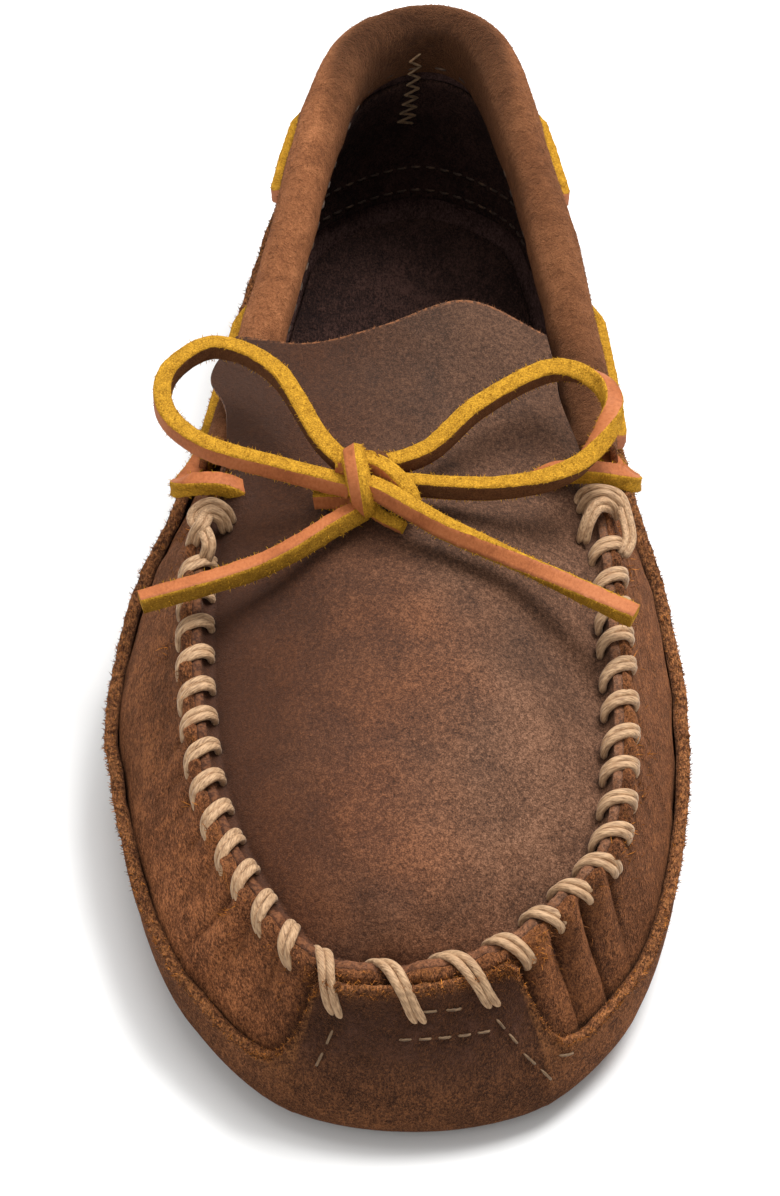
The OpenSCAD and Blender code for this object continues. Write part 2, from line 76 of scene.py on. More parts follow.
SIDES = 22
HEEL = 11
SOLE_T = 2.0
WRAP_T = 2.0
PLUG_T = 2.0
COLLAR_T = 1.7
COLLAR_GAP = 0.3
AIR = 0.15
WIDE_AT = 0.35
SEAM_END = 6
PLUG_END = 6.35
HINGE_Y = -8

# Stations run from the toe along the big-toe side to the heel and back along the other.
FLOOR = [[5, -134], [24, -130], [37, -118], [45, -103], [50, -79], [50, -48], [45, -15],
         [38, 20], [34, 58], [28, 100], [21, 123], [2, 133], [-19, 122], [-25, 100],
         [-31, 58], [-38, 18], [-46, -14], [-51, -45], [-49, -70], [-44, -92],
         [-36, -112], [-18, -130]]
WIDE = [[5, -143.5, 7], [29, -138.5, 8], [45, -124.5, 10], [54, -107, 13], [60, -80, 16],
        [61, -48, 18], [58, -18, 21], [51, 18, 22], [45.5, 58, 22], [37, 103, 20],
        [28, 130, 18], [2, 143.5, 18], [-26, 129, 18], [-33.5, 103, 20], [-41, 60, 22],
        [-48.5, 18, 22], [-57, -14, 21], [-61, -45, 18], [-58, -70, 17], [-53, -92, 15],
        [-43, -116, 12], [-22, -138, 8]]
RIM = [[1, -128.5, 37.5], [20.5, -124, 38.5], [34.5, -112, 41], [44, -99, 44.5], [46.5, -75, 49.5],
       [45.5, -49, 55], [43.5, -22, 59], [40, 20, 61.5], [34, 60, 65], [25, 103, 68.5],
       [17, 128, 70], [3.5, 135.5, 70.5], [-12, 127, 70], [-20, 103, 68.5],
       [-27, 60, 65], [-34.5, 15, 61.5], [-41, -23, 59], [-42, -47, 55.5],
       [-40.5, -70, 51], [-36.5, -92, 47], [-27, -112.5, 42.3], [-14.5, -126, 38.5]]
SOLE_EDGE = [17, 17, 18, 20, 22, 23, 26, 30, 31, 32, 33, 34, 33, 32, 31, 30, 26, 22, 21,
             20, 18, 16]


def lerp(a, b, t):
    return a + (b - a) * t


def smooth(a, b, x):
    t = np.clip((np.asarray(x, float) - a) / (b - a), 0, 1)
    return t * t * (3 - 2 * t)


def bell(x, width):
    return np.exp(-(np.asarray(x, float) / width) ** 2)


def unit(v):
    return v / np.maximum(np.linalg.norm(v, axis=-1, keepdims=True), 1e-9)


def spline(a, b, c, d, t):
    return 0.5 * (2 * b + (c - a) * t + (2 * a - 5 * b + 4 * c - d) * t * t
                  + (3 * b - a - 3 * c + d) * t ** 3)


def around(table, u):
    """The closed spline through the table's places, at stations u."""
    t = np.asarray(table, float)
    if t.ndim == 1:
        return around(t[:, None], u)[..., 0]
    u = np.asarray(u, float)
    k = np.floor(u).astype(int)
    n = len(t)
    return spline(t[(k - 1) % n], t[k % n], t[(k + 1) % n], t[(k + 2) % n], (u - k)[..., None])


def along(table, t):
    """The open spline through the table's places, t from 0 to 1."""
    p = np.asarray(table, float)
    if p.ndim == 1:
        return along(p[:, None], t)[..., 0]
    n = len(p) - 1
    p = np.concatenate([[2 * p[0] - p[1]], p, [2 * p[-1] - p[-2]]])
    x = np.clip(np.asarray(t, float), 0, 1) * n
    i = np.minimum(n - 1, np.floor(x).astype(int))
    f = (x - i).reshape(x.shape + (1,) * (p.ndim - 1))
    return spline(p[i], p[i + 1], p[i + 2], p[i + 3], f)


def graded(*spans):
    """Values along one or more spans of (start, end, count); only the last keeps its end."""
    parts = [np.linspace(*span, endpoint=False) for span in spans[:-1]]
    return np.concatenate([*parts, np.linspace(*spans[-1])])


LATTICE = np.random.default_rng(5).random((32, 32, 32))


def noise(p, size):
    """Smooth noise from -1 to 1 whose bumps are about size mm wide."""
    q = np.asarray(p, float) / size + 64
    i = np.floor(q).astype(int)
    f = q - i
    f = f * f * (3 - 2 * f)
    total = 0
    for dx in (0, 1):
        for dy in (0, 1):
            for dz in (0, 1):
                share = (np.where(dx, f[..., 0], 1 - f[..., 0])
                         * np.where(dy, f[..., 1], 1 - f[..., 1])
                         * np.where(dz, f[..., 2], 1 - f[..., 2]))
                total = total + share * LATTICE[(i[..., 0] + dx) % 32, (i[..., 1] + dy) % 32,
                                                (i[..., 2] + dz) % 32]
    return 2 * total - 1


# -------- the shoe's walls
def from_toe(u):
    m = np.mod(u, SIDES)
    return np.minimum(m, SIDES - m)


def signed(u):
    m = np.mod(u, SIDES)
    return np.where(m > HEEL, m - SIDES, m)


def behind(u):
    """0 along the ridge seam and 1 behind the throat."""
    return smooth(SEAM_END, SEAM_END + 0.5, from_toe(u))


def sideways(table, u):
    t = around(table, u + 0.3) - around(table, u - 0.3)
    return unit(np.stack([t[..., 1], -t[..., 0], 0 * t[..., 0]], -1))


def rim(u):
    return around(RIM, u)


def rim_out(u):
    return sideways(RIM, u)


def up_by(z):
    z = np.asarray(z, float)
    return np.stack([0 * z, 0 * z, z], -1)


def floor_edge(u):
    p = around(FLOOR, u)
    return np.concatenate([p, np.full(p.shape[:-1] + (1,), SOLE_T)], -1)


def wrap_edge(u):
    b = behind(u)
    return rim(u) + rim_out(u) * lerp(WRAP_T, -0.9, b)[..., None] - up_by(4.5 * b)


def wall(u, v):
    """Face between the wrap and the second sole layer, v from 0 at the floor to 1 at the rim."""
    u = np.asarray(u, float)
    a, r = floor_edge(u), wrap_edge(u)
    m = around(WIDE, u) - sideways(WIDE, u) * SOLE_T
    rise = r[..., 2] - m[..., 2]
    c1 = m + up_by(0.4 * rise)
    c2 = r + rim_out(u) * (2.5 * (1 - behind(u)))[..., None] - up_by(0.4 * rise)
    v = np.asarray(v, float)[..., None]
    s = np.clip(v / WIDE_AT, 0, 1) * math.pi / 2
    t = np.clip((v - WIDE_AT) / (1 - WIDE_AT), 0, 1)
    low = np.concatenate([lerp(a, m, np.sin(s))[..., :2],
                          lerp(a[..., 2:], m[..., 2:], 1 - np.cos(s))], -1)
    high = (m * (1 - t) ** 3 + c1 * 3 * t * (1 - t) ** 2 + c2 * 3 * t * t * (1 - t)
            + r * t ** 3)
    return np.where(v < WIDE_AT, low, high)


def wall_normal(u, v):
    e = 0.02
    w = np.clip(v, e, 1 - e)
    return unit(np.cross(wall(u + e, w) - wall(u - e, w), wall(u, w + e) - wall(u, w - e)))


def layer(u, v, d):
    return wall(u, v) + wall_normal(u, v) * np.asarray(d, float)[..., None]


def share_at(u, z):
    """Share of the wall at height z, above the widest line."""
    m, r = around(WIDE, u)[..., 2], wrap_edge(u)[..., 2]
    return WIDE_AT + (1 - WIDE_AT) * np.clip((z - m) / (r - m), 0.02, 1)


def on_wall(u, depth, d):
    return layer(u, share_at(u, rim(u)[..., 2] - depth), d)


# -------- the seam and its stitches
seam_u = np.linspace(-7, 7, 1401)
seam_p = rim(seam_u)
seam_s = np.concatenate([[0], np.cumsum(np.linalg.norm(np.diff(seam_p, axis=0), axis=1))])
seam_s = seam_s - np.interp(0, seam_u, seam_s)


def stitch_mm(k):
    """Place of seam stitch k in mm along the seam: 0 in the middle of the toe, wider apart
    there, and positive along the big-toe side."""
    right = 7.6 * k + 12.2 * (1 - np.exp(-np.maximum(k, 0) / 1.5))
    left = 7.65 * k - 8.3 * (1 - np.exp(np.minimum(k, 0) / 0.85))
    return np.where(k >= 0, right, left)


STITCHES = np.arange(-14, 16)
fine_k = np.linspace(-20, 20, 801)


def stitch_u(k):
    return np.interp(stitch_mm(np.asarray(k, float)), seam_s, seam_u)


def phase(u):
    """A number that is whole at each stitch."""
    return np.interp(np.interp(signed(u), seam_u, seam_s), stitch_mm(fine_k), fine_k)


def between(u):
    """0 at each stitch, 1 halfway to the next one, 0 behind the seam."""
    return np.sin(math.pi * phase(u)) ** 2 * (1 - smooth(SEAM_END - 0.3, SEAM_END, from_toe(u)))


gather_rng = np.random.default_rng(11)
GATHER_DEPTH = gather_rng.uniform(0.1, 1.0, 48) ** 2.6
GATHER_DEPTH[26:28] = 1.5
GATHER_REACH = gather_rng.uniform(9, 24, 48)


def gathers(u, depth):
    """How far the wrap bulges between its stitches, depth mm below the ridge."""
    k = np.floor(phase(u)).astype(int) + 24
    toe = 1 - smooth(2.8, 5.0, from_toe(u))
    on = 1 - smooth(SEAM_END - 0.4, SEAM_END, from_toe(u))
    fold = np.abs(np.sin(math.pi * phase(u))) ** 0.7
    near = fold * lerp(0.5, 1.4, toe) * np.exp(-depth / 6)
    reach = np.exp(-(depth / GATHER_REACH[k]) ** 2)
    far = (fold - 0.6) * GATHER_DEPTH[k] * lerp(0.3, 3.0, toe) * reach
    return (near + far * smooth(0, 5, depth)) * on


# -------- mesh building
class Mesh:
    """Points in mm with their values for the materials, and faces with a material number."""

    def __init__(self):
        self.points, self.place, self.shade, self.raw, self.wax = [], [], [], [], []
        self.faces, self.kinds = [], []
        self.count = 0

    def add(self, points, shade=1.0, raw=0.0, wax=0.0, place=None):
        points = np.asarray(points, float)
        shape = points.shape[:-1]
        index = np.arange(self.count, self.count + int(np.prod(shape))).reshape(shape)
        self.points.append(points.reshape(-1, 3))
        self.place.append((points if place is None else np.asarray(place, float)).reshape(-1, 3))
        self.shade.append(np.broadcast_to(np.asarray(shade, float), shape).ravel())
        self.raw.append(np.broadcast_to(np.asarray(raw, float), shape).ravel())
        self.wax.append(np.broadcast_to(np.asarray(wax, float), shape).ravel())
        self.count += index.size
        return index

    def quads(self, index, closed=False, kind=0):
        if closed:
            index = np.concatenate([index, index[:, :1]], 1)
        a, b = index[:-1, :-1].ravel(), index[:-1, 1:].ravel()
        c, d = index[1:, 1:].ravel(), index[1:, :-1].ravel()
        self.faces += list(zip(a.tolist(), b.tolist(), c.tolist(), d.tolist()))
        kinds = np.broadcast_to(kind, (index.shape[0] - 1, index.shape[1] - 1)).ravel()
        self.kinds += kinds.tolist()

    def cut_edge(self, t, b, p, q, out, rough=0.0, size=1.0, closed=True, shade=1.0, raw=1.0):
        """Rounded cut edge from the row t, at points p, to the row b, at points q."""
        rings = [t]
        for f in (0.25, 0.5, 0.75):
            ring = lerp(p, q, f) + out * math.sin(math.pi * f)
            if rough:
                ring = ring + rough * noise(ring, size)[:, None]
            rings.append(self.add(ring, shade, raw(ring) if callable(raw) else raw))
        rings.append(b)
        self.quads(np.array(rings), closed)

    def sheet(self, top, bottom, bulge=0.35, raw=1.0, shade=1.0, raw_top=0.0, under_shade=0.6,
              open_start=False):
        """A sheet of leather between two grids. Its first row gets no cut edge if open_start."""
        t = self.add(top, shade, raw_top)
        b = self.add(bottom, under_shade)
        self.quads(t)
        self.quads(b)
        n, m = t.shape
        if open_start:
            edge = [(i, 0) for i in range(n)] + [(n - 1, j) for j in range(1, m)]
            edge += [(i, m - 1) for i in range(n - 2, -1, -1)]
        else:
            edge = [(i, 0) for i in range(n - 1)] + [(n - 1, j) for j in range(m - 1)]
            edge += [(i, m - 1) for i in range(n - 1, 0, -1)] + [(0, j) for j in range(m - 1, 0, -1)]
        i, j = np.array(edge).T
        inner_i, inner_j = np.clip(i, 1, n - 2), np.clip(j, 1, m - 2)
        p, q = top[i, j], bottom[i, j]
        out = unit((p + q) / 2 - (top[inner_i, inner_j] + bottom[inner_i, inner_j]) / 2)
        self.cut_edge(t[i, j], b[i, j], p, q, out * bulge, closed=not open_start, raw=raw)

    def piece(self, name, materials, body=None, stands_for=(), weld=0.0,
              auto=60.0):
        mesh = bpy.data.meshes.new(name)
        points = np.concatenate(self.points) * GROW * MM
        mesh.from_pydata(points.tolist(), [], self.faces)
        for label, kind, values in (("place", "FLOAT_VECTOR", self.place),
                                    ("shade", "FLOAT", self.shade), ("raw", "FLOAT", self.raw),
                                    ("wax", "FLOAT", self.wax)):
            layer_data = mesh.attributes.new(label, kind, "POINT")
            flat = np.concatenate(values).astype(np.float32).ravel()
            layer_data.data.foreach_set("vector" if kind == "FLOAT_VECTOR" else "value", flat)
        for material in materials:
            mesh.materials.append(material)
        mesh.polygons.foreach_set("material_index", self.kinds)
        work = bmesh.new()
        work.from_mesh(mesh)
        if weld:
            bmesh.ops.remove_doubles(work, verts=work.verts, dist=weld * MM)
        bmesh.ops.recalc_face_normals(work, faces=work.faces)
        for face in work.faces:
            face.smooth = True
        limit = math.radians(auto)
        for edge in work.edges:
            if len(edge.link_faces) == 2 and edge.calc_face_angle(0) > limit:
                edge.smooth = False
        work.to_mesh(mesh)
        work.free()
        obj = bpy.data.objects.new(name, mesh)
        bpy.context.scene.collection.objects.link(obj)
        if stands_for:
            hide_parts(*stands_for)
        if body:
            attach(obj, body)
        return obj


fuzz_rng = np.random.default_rng(77)


def fuzz(mesh, base, away, length=1.2, thick=0.10, spread=0.8, raw=1.0, kind=0, shade=1.0):
    """Loose fibres: thin bent spikes standing on the base points, leaning round away."""
    n = len(base)
    raw = raw * fuzz_rng.uniform(0.2, 1.0, (n, 1))
    lean = unit(unit(away) + spread * fuzz_rng.normal(0, 0.6, (n, 3)))
    side = unit(np.cross(lean, fuzz_rng.normal(0, 1, (n, 3))))
    other = np.cross(lean, side)
    reach = (length * fuzz_rng.uniform(0.35, 1.0, n))[:, None]
    bend = (reach * fuzz_rng.uniform(-0.4, 0.4, (n, 1))) * side
    middle = base + lean * reach * 0.55 + bend * 0.6
    tip = base + lean * reach + bend * 1.6
    foot = base - lean * 0.15
    turns = np.radians([0, 120, 240])
    rings = []
    for centre, size in ((foot, thick), (middle, thick * 0.7)):
        ring = [centre + (side * math.cos(a) + other * math.sin(a)) * size / 2 for a in turns]
        rings.append(mesh.add(np.stack(ring, 1), shade, raw))
    end = mesh.add(tip, shade, raw[:, 0])
    a, b = rings
    for i in range(3):
        j = (i + 1) % 3
        mesh.faces += list(zip(a[:, i].tolist(), a[:, j].tolist(), b[:, j].tolist(), b[:, i].tolist()))
        mesh.faces += list(zip(b[:, i].tolist(), b[:, j].tolist(), end.tolist()))
    mesh.faces += list(zip(a[:, 2].tolist(), a[:, 1].tolist(), a[:, 0].tolist()))
    mesh.kinds += [kind] * (7 * n)


def scatter(grid, away, count, weight=None):
    """Random places on a grid of points, with the direction away from the leather there. Where
    there is a weight, from 0 to 1, it is the share of the places that are kept."""
    rows, columns = grid.shape[:2]
    row = fuzz_rng.uniform(0, rows - 1, count)
    column = fuzz_rng.uniform(0, columns - 1, count)
    i, j = row.astype(int), column.astype(int)
    below, right = np.minimum(i + 1, rows - 1), np.minimum(j + 1, columns - 1)
    f, g = (row - i)[:, None], (column - j)[:, None]

    def pick(values):
        return lerp(lerp(values[i, j], values[i, right], g),
                    lerp(values[below, j], values[below, right], g), f)
    places, directions = pick(grid), pick(away)
    if weight is None:
        return places, directions
    kept = fuzz_rng.random(count) < pick(weight[..., None])[:, 0]
    return places[kept], directions[kept]


def grid_normals(p):
    """Unit normals of a grid of points."""
    return unit(np.cross(np.gradient(p, axis=1), np.gradient(p, axis=0)))


# -------- materials
class Nodes:
    """A material's node tree, with short calls for its usual nodes."""

    def __init__(self, name):
        self.material = bpy.data.materials.new(name)
        self.material.use_nodes = True
        self.tree = self.material.node_tree
        self.tree.nodes.clear()

    def add(self, kind, inputs=None, **settings):
        node = self.tree.nodes.new("ShaderNode" + kind)
        for key, value in settings.items():
            setattr(node, key, value)
        for key, value in (inputs or {}).items():
            if isinstance(value, bpy.types.NodeSocket):
                self.tree.links.new(value, node.inputs[key])
            else:
                node.inputs[key].default_value = value
        return node

    def value(self, name):
        return self.add("Attribute", attribute_name=name).outputs["Fac"]

    def place(self, scale=(1, 1, 1)):
        spot = self.add("Attribute", attribute_name="place").outputs["Vector"]
        return self.add("Mapping", {"Vector": spot, "Scale": scale}).outputs[0]

    def noise(self, scale, detail=3, rough=0.55, stretch=(1, 1, 1), warp=0.0):
        return self.add("TexNoise", {"Vector": self.place(stretch), "Scale": scale,
                                     "Detail": detail, "Roughness": rough,
                                     "Distortion": warp}).outputs["Fac"]

    def blend_noise(self, parts):
        """A value round 0.5 from noises, each with its weight."""
        total = None
        for source, weight in parts:
            part = self.math("MULTIPLY_ADD", source, weight, c=-0.5 * weight)
            total = part if total is None else self.math("ADD", total, part)
        return self.math("ADD", total, 0.5)

    def math(self, kind, a, b=0.0, clamp=False, c=None):
        node = self.add("Math", {0: a, 1: b} if c is None else {0: a, 1: b, 2: c},
                        operation=kind)
        node.use_clamp = clamp
        return node.outputs[0]

    def remap(self, x, a, b, to_a=0.0, to_b=1.0):
        return self.add("MapRange", {0: x, 1: a, 2: b, 3: to_a, 4: to_b}).outputs[0]

    def mix(self, factor, a, b, kind="MIX"):
        node = self.add("Mix", data_type="RGBA", blend_type=kind)
        for key, value in ((0, factor), (6, a), (7, b)):
            if isinstance(value, bpy.types.NodeSocket):
                self.tree.links.new(value, node.inputs[key])
            else:
                node.inputs[key].default_value = value
        return node.outputs[2]

    def ramp(self, x, stops):
        node = self.add("ValToRGB", {0: x})
        elements = node.color_ramp.elements
        while len(elements) < len(stops):
            elements.new(0.5)
        for element, (at, colour) in zip(elements, stops):
            element.position = at
            element.color = (*colour, 1)
        return node.outputs[0]

    def bump(self, height, distance_mm, strength=1.0, normal=None):
        inputs = {"Height": height, "Distance": distance_mm * MM, "Strength": strength}
        if normal is not None:
            inputs["Normal"] = normal
        return self.add("Bump", inputs).outputs[0]

    def finish(self, colour, rough, normal=None, sheen=0.0, sheen_tint=(1, 1, 1), specular=0.5,
               sheen_rough=0.4):
        inputs = {"Base Color": colour, "Roughness": rough, "Sheen Weight": sheen,
                  "Sheen Tint": (*sheen_tint, 1), "Sheen Roughness": sheen_rough,
                  "Specular IOR Level": specular}
        if normal is not None:
            inputs["Normal"] = normal
        shader = self.add("BsdfPrincipled", inputs)
        self.add("OutputMaterial", {"Surface": shader.outputs[0]})
        return self.material


def scaled_colour(colour, by):
    return tuple(c * by for c in colour)


def suede(name, dark, middle, light, raw=(0.50, 0.20, 0.05), nap=(1, 0.35, 0.6), sheen=0.35,
          grain=1.0):
    """Brushed leather: cloudy patches, short streaks of nap and single fibres."""
    n = Nodes(name)
    cloud = n.noise(0.045, 3, 0.5)
    patch = n.noise(0.20, 4, 0.6)
    streak = n.noise(0.9, 4, 0.7, nap, 0.4)
    fibre = n.noise(3.2, 2, 0.8, nap)
    fleck = n.noise(1.8, 3, 0.8, (1, 0.7, 1))
    mixed = n.blend_noise([(cloud, 0.8), (patch, 0.9), (streak, 1.3 * grain), (fibre, 2.2 * grain),
                           (fleck, 1.7 * grain)])
    colour = n.ramp(mixed, [(0.08, dark), (0.48, middle), (0.95, light)])
    wax_mix = n.blend_noise([(patch, 1.2), (streak, 0.8), (fleck, 0.8)])
    wax_colour = n.ramp(wax_mix, [(0.15, (0.014, 0.005, 0.004)), (0.50, (0.046, 0.017, 0.010)),
                                  (0.90, (0.130, 0.055, 0.034))])
    wax_on = n.math("MULTIPLY", n.value("wax"), n.remap(n.math("ADD", patch, streak), 0.75, 1.1), True)
    colour = n.mix(wax_on, colour, wax_colour)
    fluff = n.noise(0.9, 4, 0.7)
    cut = n.math("MULTIPLY", n.value("raw"), n.remap(fluff, 0.42, 0.60))
    raw_colour = n.mix(n.remap(fibre, 0.38, 0.62), (*scaled_colour(raw, 0.18), 1),
                       (*scaled_colour(raw, 0.9), 1))
    raw_colour = n.mix(n.remap(n.value("raw"), 1.0, 1.6), raw_colour, (0.78, 0.28, 0.045, 1))
    colour = n.mix(cut, colour, raw_colour)
    # The shade value paints shade where it is below 1 and light where it is above 1.
    colour = n.mix(1.0, colour, n.value("shade"), "MULTIPLY")
    height = n.blend_noise([(streak, 1.0), (fibre, 0.7), (fleck, 0.4)])
    normal = n.bump(patch, 1.6, 0.7, n.bump(height, 1.2))
    rough = n.remap(wax_on, 0, 1, 0.95, 0.60)
    specular = n.remap(wax_on, 0, 1, 0.2, 0.12)
    return n.finish(colour, rough, normal, sheen, scaled_colour(light, 2.0), specular, 0.45)


def waxed(name):
    """Oiled nubuck: dark speckle, cloudy pull-up, red where rubbed. Towards the right it is greyer and
    lighter, a painted highlight; towards the left darker, partly darker leather and partly painted
    shade; it is lighter towards the toe and darker towards the tongue.
    """
    n = Nodes(name)
    cloud = n.noise(0.022, 3, 0.5)
    patch = n.noise(0.09, 4, 0.6, (1, 1, 1), 0.5)
    speck = n.noise(1.1, 4, 0.75)
    grain = n.noise(3.0, 3, 0.75)
    mixed = n.blend_noise([(patch, 0.7), (speck, 1.5), (grain, 1.8)])
    brown = n.ramp(mixed, [(0.08, (0.028, 0.012, 0.006)), (0.50, (0.098, 0.044, 0.023)),
                           (0.92, (0.225, 0.112, 0.064))])
    red = n.ramp(mixed, [(0.08, (0.030, 0.010, 0.004)), (0.50, (0.108, 0.036, 0.014)),
                         (0.92, (0.260, 0.094, 0.036))])
    spot = n.add("SeparateXYZ", {"Vector": n.place()}).outputs
    # Towards the right (+X) redness falls and the colour turns to the greyer brown: part of a painted
    # highlight.
    side = n.math("MULTIPLY", spot["X"], -0.012)
    redness = n.math("ADD", cloud, side)
    colour = n.mix(n.remap(redness, 0.30, 0.75), brown, red)
    # Darker towards the left: partly darker leather, partly painted shade.
    edge = n.math("MULTIPLY", n.remap(side, -0.10, 0.40), 0.80)
    colour = n.mix(edge, colour, (0.050, 0.019, 0.010, 1))
    # Darker towards the tongue.
    colour = n.mix(n.math("MULTIPLY", n.remap(spot["Y"], -55, 10), 0.42), colour,
                   (0.026, 0.015, 0.010, 1))
    # Painted highlight: lighter towards the right; also lighter towards the toe.
    lift = n.math("MULTIPLY", n.remap(side, 0.0, -0.42, 1.0, 1.25),
                  n.remap(spot["Y"], -60, -105, 1.0, 1.2))
    colour = n.mix(1.0, colour, lift, "MULTIPLY")
    cut = n.math("MULTIPLY", n.value("raw"), n.remap(n.noise(1.2, 3), 0.42, 0.58))
    colour = n.mix(cut, colour, (0.36, 0.14, 0.055, 1))
    colour = n.mix(n.value("shade"), (0.012, 0.007, 0.005, 1), colour)
    height = n.blend_noise([(speck, 0.8), (grain, 0.7)])
    normal = n.bump(patch, 1.2, 0.6, n.bump(height, 0.30))
    rough = n.remap(patch, 0.3, 0.7, 0.50, 0.70)
    return n.finish(colour, rough, normal, 0.10, (0.85, 0.62, 0.50), 0.16, 0.35)


def hide_grain(name):
    """Smooth orange-tan outer side of rawhide, with fine wrinkles across it."""
    n = Nodes(name)
    cloud = n.noise(0.12, 3)
    wrinkle = n.noise(1.3, 4, 0.65, (0.8, 0.8, 1.3))
    pore = n.noise(3.0, 2, 0.6)
    mixed = n.math("ADD", n.math("MULTIPLY", cloud, 0.5), n.math("MULTIPLY", wrinkle, 0.5))
    colour = n.ramp(mixed, [(0.34, (0.28, 0.078, 0.023)), (0.52, (0.43, 0.134, 0.043)),
                            (0.70, (0.51, 0.180, 0.065))])
    colour = n.mix(n.value("shade"), (0.05, 0.018, 0.008, 1), colour)
    height = n.math("ADD", wrinkle, n.math("MULTIPLY", pore, 0.4))
    return n.finish(colour, 0.62, n.bump(height, 0.12), 0.0, (1, 0.8, 0.6), 0.22)


def hide_cut(name, dark, light):
    """Fuzzy cut side or flesh side of rawhide."""
    n = Nodes(name)
    clump = n.noise(0.5, 3, 0.6)
    fibre = n.noise(2.6, 3, 0.8)
    mixed = n.math("ADD", n.math("MULTIPLY", clump, 0.30), n.math("MULTIPLY", fibre, 0.70))
    middle = tuple((a + b) / 2 for a, b in zip(dark, light))
    colour = n.ramp(mixed, [(0.33, dark), (0.50, middle), (0.64, light)])
    colour = n.mix(n.value("shade"), (0.04, 0.02, 0.006, 1), colour)
    return n.finish(colour, 0.95, n.bump(mixed, 0.7), 0.25, light, 0.1)


def waxed_cord(name, dark, light):
    """Waxed cord or thread: fibres along it, stained in patches, with painted shade where the shade
    value is low, as where its ends go into the leather.
    """
    n = Nodes(name)
    strand = n.noise(1.4, 3, 0.6, (0.35, 1.6, 1.6))
    stain = n.noise(0.35, 3, 0.6)
    colour = n.ramp(strand, [(0.30, dark), (0.62, light)])
    tint = n.math("MULTIPLY", n.remap(stain, 0.52, 0.70), 0.5)
    colour = n.mix(tint, colour, (0.36, 0.19, 0.09, 1))
    colour = n.mix(n.value("shade"), (0.06, 0.03, 0.015, 1), colour)
    return n.finish(colour, 0.6, n.bump(strand, 0.18), 0.15, (1, 0.9, 0.8), 0.3)


def foam_material(name):
    """Open-cell foam."""
    n = Nodes(name)
    cells = n.add("TexVoronoi", {"Vector": n.place(), "Scale": 1.4}).outputs["Distance"]
    colour = n.ramp(cells, [(0.1, (0.42, 0.36, 0.26)), (0.7, (0.62, 0.56, 0.44))])
    return n.finish(colour, 0.95, n.bump(cells, 0.3))


M_SOLE = suede("sole suede", (0.022, 0.007, 0.003), (0.100, 0.036, 0.015), (0.32, 0.122, 0.046),
               raw=(0.62, 0.25, 0.085))
M_WRAP = suede("wrap suede", (0.030, 0.009, 0.003), (0.137, 0.047, 0.019), (0.39, 0.146, 0.053),
               raw=(0.66, 0.23, 0.045))
M_COLLAR = suede("collar suede", (0.095, 0.031, 0.012), (0.255, 0.091, 0.034), (0.50, 0.200, 0.082),
                 raw=(0.45, 0.2, 0.08), nap=(1, 1, 0.6), sheen=0.3, grain=0.55)
M_LINING = suede("lining suede", (0.010, 0.004, 0.004), (0.034, 0.015, 0.011), (0.082, 0.038, 0.029),
                 raw=(0.20, 0.10, 0.06), sheen=0.15)
M_INSIDE = suede("inner face of the wrap", (0.022, 0.009, 0.007), (0.075, 0.036, 0.030),
                 (0.15, 0.080, 0.068), raw=(0.20, 0.10, 0.06), sheen=0.3)
M_WAXED = waxed("waxed nubuck")
M_GRAIN = hide_grain("rawhide grain")
M_CUT = hide_cut("rawhide cut side", (0.22, 0.095, 0.008), (0.80, 0.42, 0.038))
M_FLESH = hide_cut("rawhide flesh side", (0.055, 0.020, 0.008), (0.20, 0.080, 0.030))
M_CORD = waxed_cord("waxed cord", (0.20, 0.105, 0.050), (0.57, 0.365, 0.205))
M_THREAD = waxed_cord("sewing thread", (0.085, 0.048, 0.026), (0.24, 0.15, 0.08))
# A darker copy of the thread: painted shade for the threads inside the shoe.
M_THREAD_PAINTED_SHADE = waxed_cord("sewing thread in the shade", (0.030, 0.017, 0.011), (0.085, 0.05, 0.033))
M_FOAM = foam_material("foam")


# -------- cords, threads and laces
def path_frames(path, up=(0, 0, 1)):
    """Unit side and rise at each point of a path; side is level where up is +Z."""
    t = unit(np.gradient(path, axis=0))
    side = unit(np.cross(t, np.broadcast_to(np.asarray(up, float), t.shape)))
    return side, np.cross(side, t)


def lengths(path):
    return np.concatenate([[0], np.cumsum(np.linalg.norm(np.diff(path, axis=0), axis=1))])


def tube(mesh, path, radius, up=(0, 0, 1), segments=10, lobes=3, pitch=7.0, flat=1.0,
         shade=1.0, ply=0.10):
    """A twisted cord along a path, with rounded ends."""
    side, rise = path_frames(path, up)
    s = lengths(path)
    n = len(path)
    taper = np.sqrt(np.clip(np.minimum(s, s[-1] - s) / radius, 0.04, 1))
    a = np.linspace(0, 2 * math.pi, segments, endpoint=False)
    r = radius * taper[:, None] * (1 + ply * np.cos(lobes * a - 2 * math.pi * s[:, None] / pitch))
    x, y = r * np.cos(a), r * flat * np.sin(a)
    points = path[:, None] + side[:, None] * x[..., None] + rise[:, None] * y[..., None]
    place = np.stack([np.broadcast_to(s[:, None], x.shape), x * 1.3, y * 1.3 + path[:, None, 1]], -1)
    shade = np.broadcast_to(np.asarray(shade, float), (n,))[:, None] * np.ones(segments)
    index = mesh.add(points, shade, place=place)
    mesh.quads(index, closed=True)
    for ring in (index[0], index[-1]):
        mesh.faces.append(tuple(ring.tolist()))
        mesh.kinds.append(0)


LACE_MATERIALS = [M_GRAIN, M_CUT, M_FLESH]
GRAIN, CUT, FLESH = range(3)


def lace_section(width, thick, corner):
    """Section of the lace: grain side up, cut sides left and right, flesh side down."""
    w, t = width / 2, thick / 2
    corners = [(-w, t), (w, t), (w, -t), (-w, -t)]
    points, kinds = [], []
    for k, kind in enumerate((GRAIN, CUT, FLESH, CUT)):
        a, b = np.array(corners[k]), np.array(corners[(k + 1) % 4])
        d = unit(b - a)
        for f in (0, 0.25, 0.5, 0.75, 1):
            points.append(lerp(a + d * corner, b - d * corner, f))
            kinds.append(kind if f < 1 else CUT)
    return np.array(points), kinds


